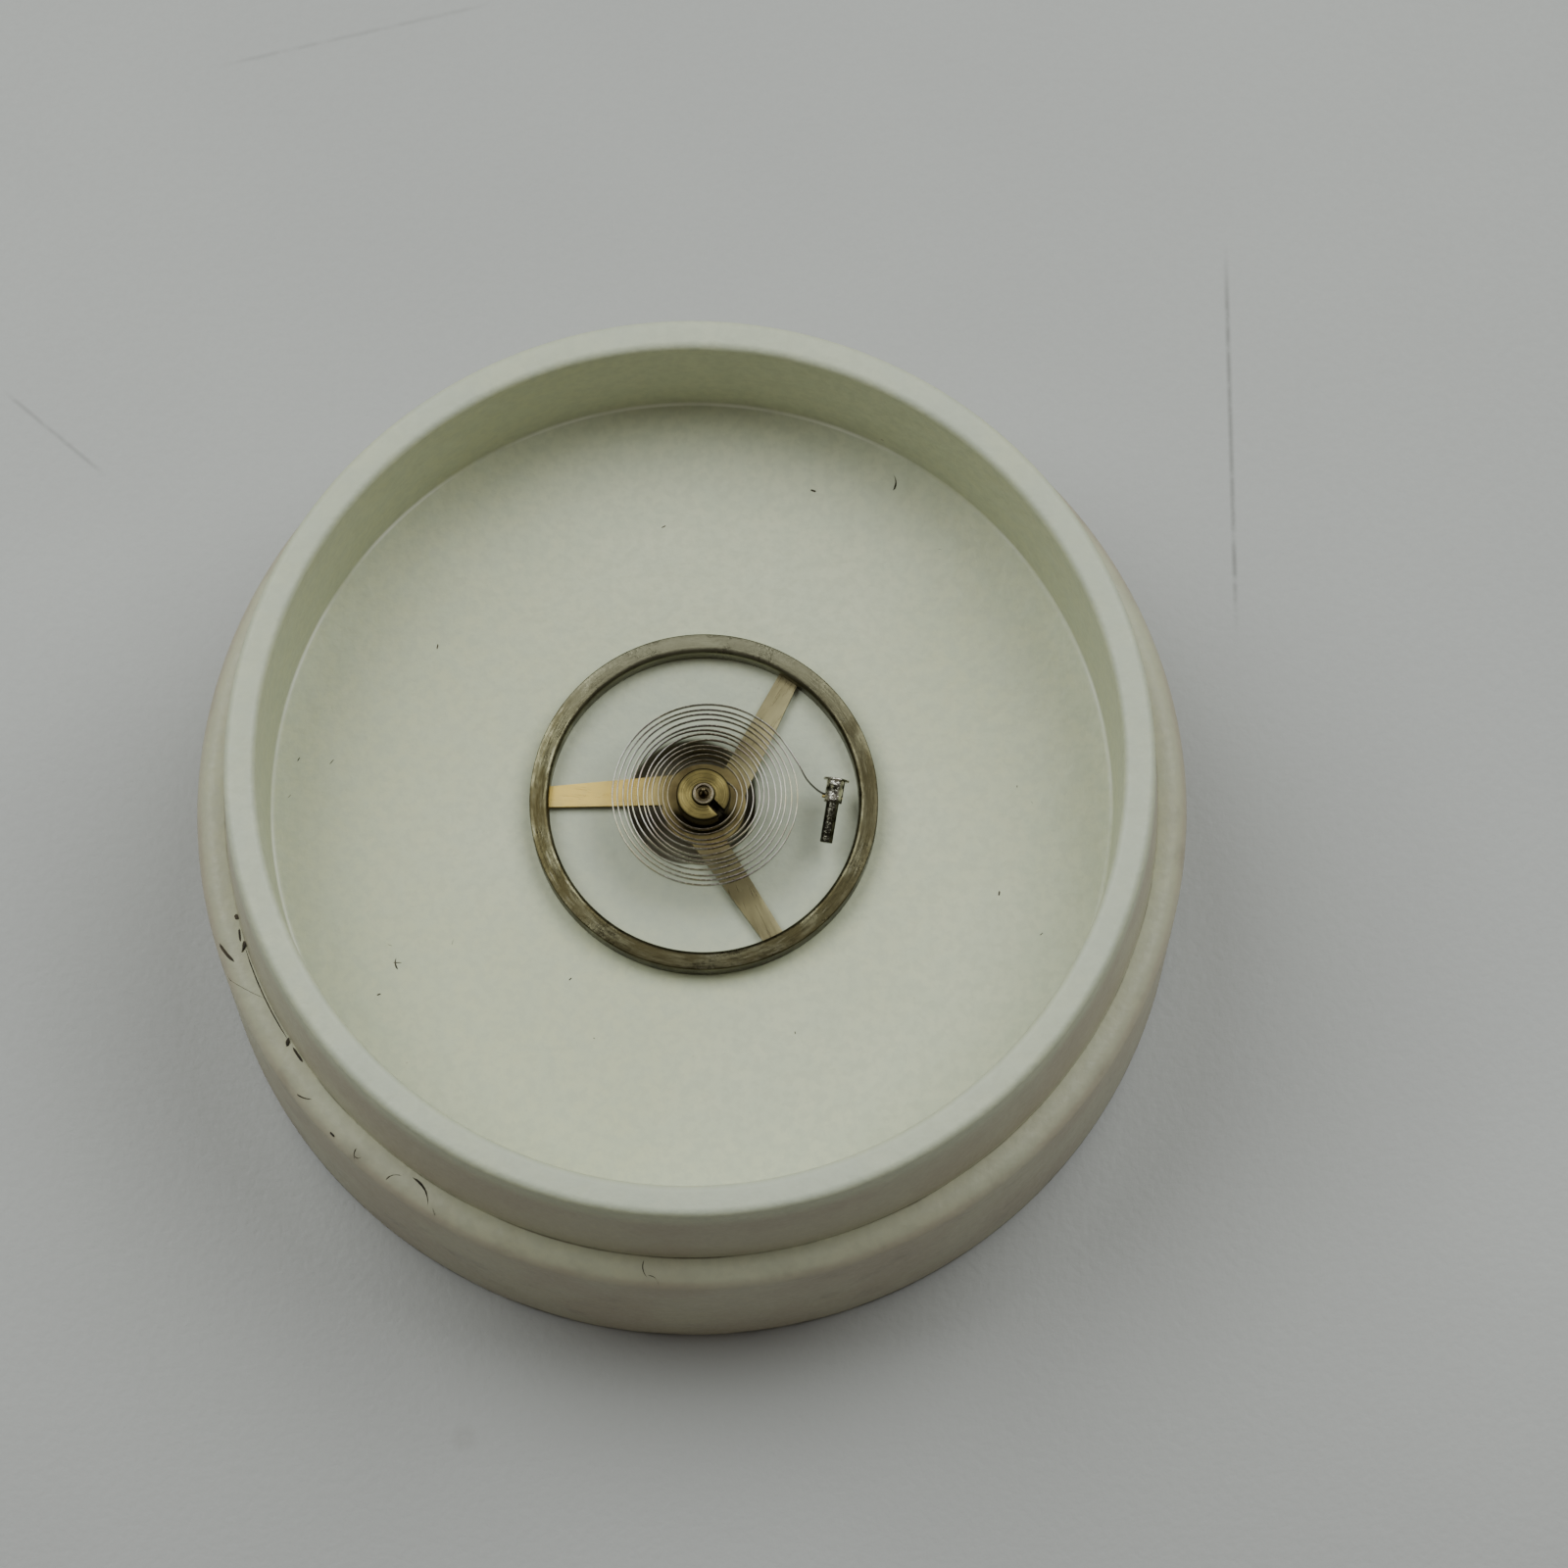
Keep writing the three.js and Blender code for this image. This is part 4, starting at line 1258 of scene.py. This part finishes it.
def hairspring():
    path = blade_path()
    section = blade_section()
    bm = bmesh.new()
    share = bm.verts.layers.float.new("share")
    lengths = [0.0]
    for a, b in zip(path, path[1:]):
        lengths.append(lengths[-1] + (b - a).length)
    rings = []
    for i, point in enumerate(path):
        heading = path[min(i + 1, len(path) - 1)] - path[max(i - 1, 0)]
        heading.z = 0
        left = Vector((-heading.y, heading.x, 0)).normalized()
        ring = []
        for across, up in section:
            vertex = bm.verts.new(point + left * across + Vector((0, 0, up)))
            vertex[share] = lengths[i] / lengths[-1]
            ring.append(vertex)
        rings.append(ring)
    for a, b in zip(rings, rings[1:]):
        for k in range(len(section)):
            j = (k + 1) % len(section)
            bm.faces.new((a[k], a[j], b[j], b[k]))
    bm.faces.new(rings[0][::-1])
    bm.faces.new(rings[-1])
    piece = new_piece("spring_blade", bm, BLADE)
    finished(piece, None, "spring_steel", "hairspring", sharp=50)
    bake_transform(piece, "stud", "balance", start=stud_hole.point(0, 0) * MM, end=AXIS * MM)
    wind_along_length(piece)


def wind_along_length(piece):
    """Shares the turn out along the blade: all of it at the collet, none of it at the stud."""
    attributes = piece.data.attributes
    for share, weight in zip(attributes["share"].data, attributes["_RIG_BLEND"].data):
        weight.value = 1 - share.value
    attributes.remove(attributes["share"])


# ------------------------------------------------------------------ stage, lights and camera


# How far the bench reaches to each side, in millimetres
BENCH_REACH = 600


def bench():
    bm = bmesh.new()
    bmesh.ops.create_grid(bm, x_segments=1, y_segments=1, size=BENCH_REACH)
    floor = new_piece("bench", bm, BENCH)
    floor.data.transform(Matrix.Scale(MM, 4))


# Each lamp's place in metres and its power in watts
LEFT_LAMP = (-0.23, 0.15, 0.385), 1.5
RIGHT_LAMP = (0.22, 0.16, 0.395), 1.46
LAMP_SIZE = 0.36
LAMP_COLOUR = (0.95, 1.0, 0.985)
ROOM_COLOUR = (1.0, 0.93, 0.82, 1)
ROOM_STRENGTH = 0.16


def lamp(name, place, power):
    """A round lamp that points at the middle of the dish."""
    light = bpy.data.lights.new(name, "AREA")
    light.shape = "DISK"
    light.size = LAMP_SIZE
    light.energy = power
    light.color = LAMP_COLOUR
    holder = bpy.data.objects.new(name, light)
    holder.location = place
    aim = Vector((0, 0, DISH_HEIGHT * MM / 2)) - Vector(place)
    holder.rotation_euler = aim.to_track_quat("-Z", "Y").to_euler()
    bpy.context.scene.collection.objects.link(holder)


def lights():
    lamp("left lamp", *LEFT_LAMP)
    lamp("right lamp", *RIGHT_LAMP)
    world = bpy.data.worlds.new("room")
    world.use_nodes = True
    connect(world.node_tree, world.node_tree.nodes["Background"],
            {"Color": ROOM_COLOUR, "Strength": ROOM_STRENGTH})
    bpy.context.scene.world = world


CAMERA_TARGET = Vector((2.65, 0.45, 7.35)) * MM
CAMERA_ELEVATION = 74.26
CAMERA_DISTANCE = 0.18
CAMERA_LENS = 143.8


def camera():
    data = bpy.data.cameras.new("camera")
    data.lens = CAMERA_LENS
    data.sensor_width = 36
    data.clip_start = 0.01
    eye = bpy.data.objects.new("camera", data)
    elevation = math.radians(CAMERA_ELEVATION)
    back = Vector((0, -math.cos(elevation), math.sin(elevation)))
    eye.location = CAMERA_TARGET + back * CAMERA_DISTANCE
    eye.rotation_euler = (-back).to_track_quat("-Z", "Y").to_euler()
    bpy.context.scene.collection.objects.link(eye)
    bpy.context.scene.camera = eye


# ------------------------------------------------------------------ making it all

camera()
lights()
bench()
parts_dish()
flecks()
balance_wheel()
balance_staff()
roller("impulse_disc", ROLLER_LOW, ROLLER_HIGH, ROLLER_RADIUS,
       [(JEWEL_REACH, JEWEL_RADIUS + FIT_GAP)], "impulse_roller")
roller("safety_disc", SAFETY_LOW, SAFETY_HIGH, SAFETY_RADIUS,
       [(SAFETY_RADIUS + SAFETY_NOTCH / 4, SAFETY_NOTCH)], "safety_roller")
impulse_jewel()
collet()
collet_hole.pin("collet_taper_pin", "balance", "collet_pin")
hairspring_stud()
stud_hole.pin("stud_taper_pin", "stud", "stud_pin")
hairspring()
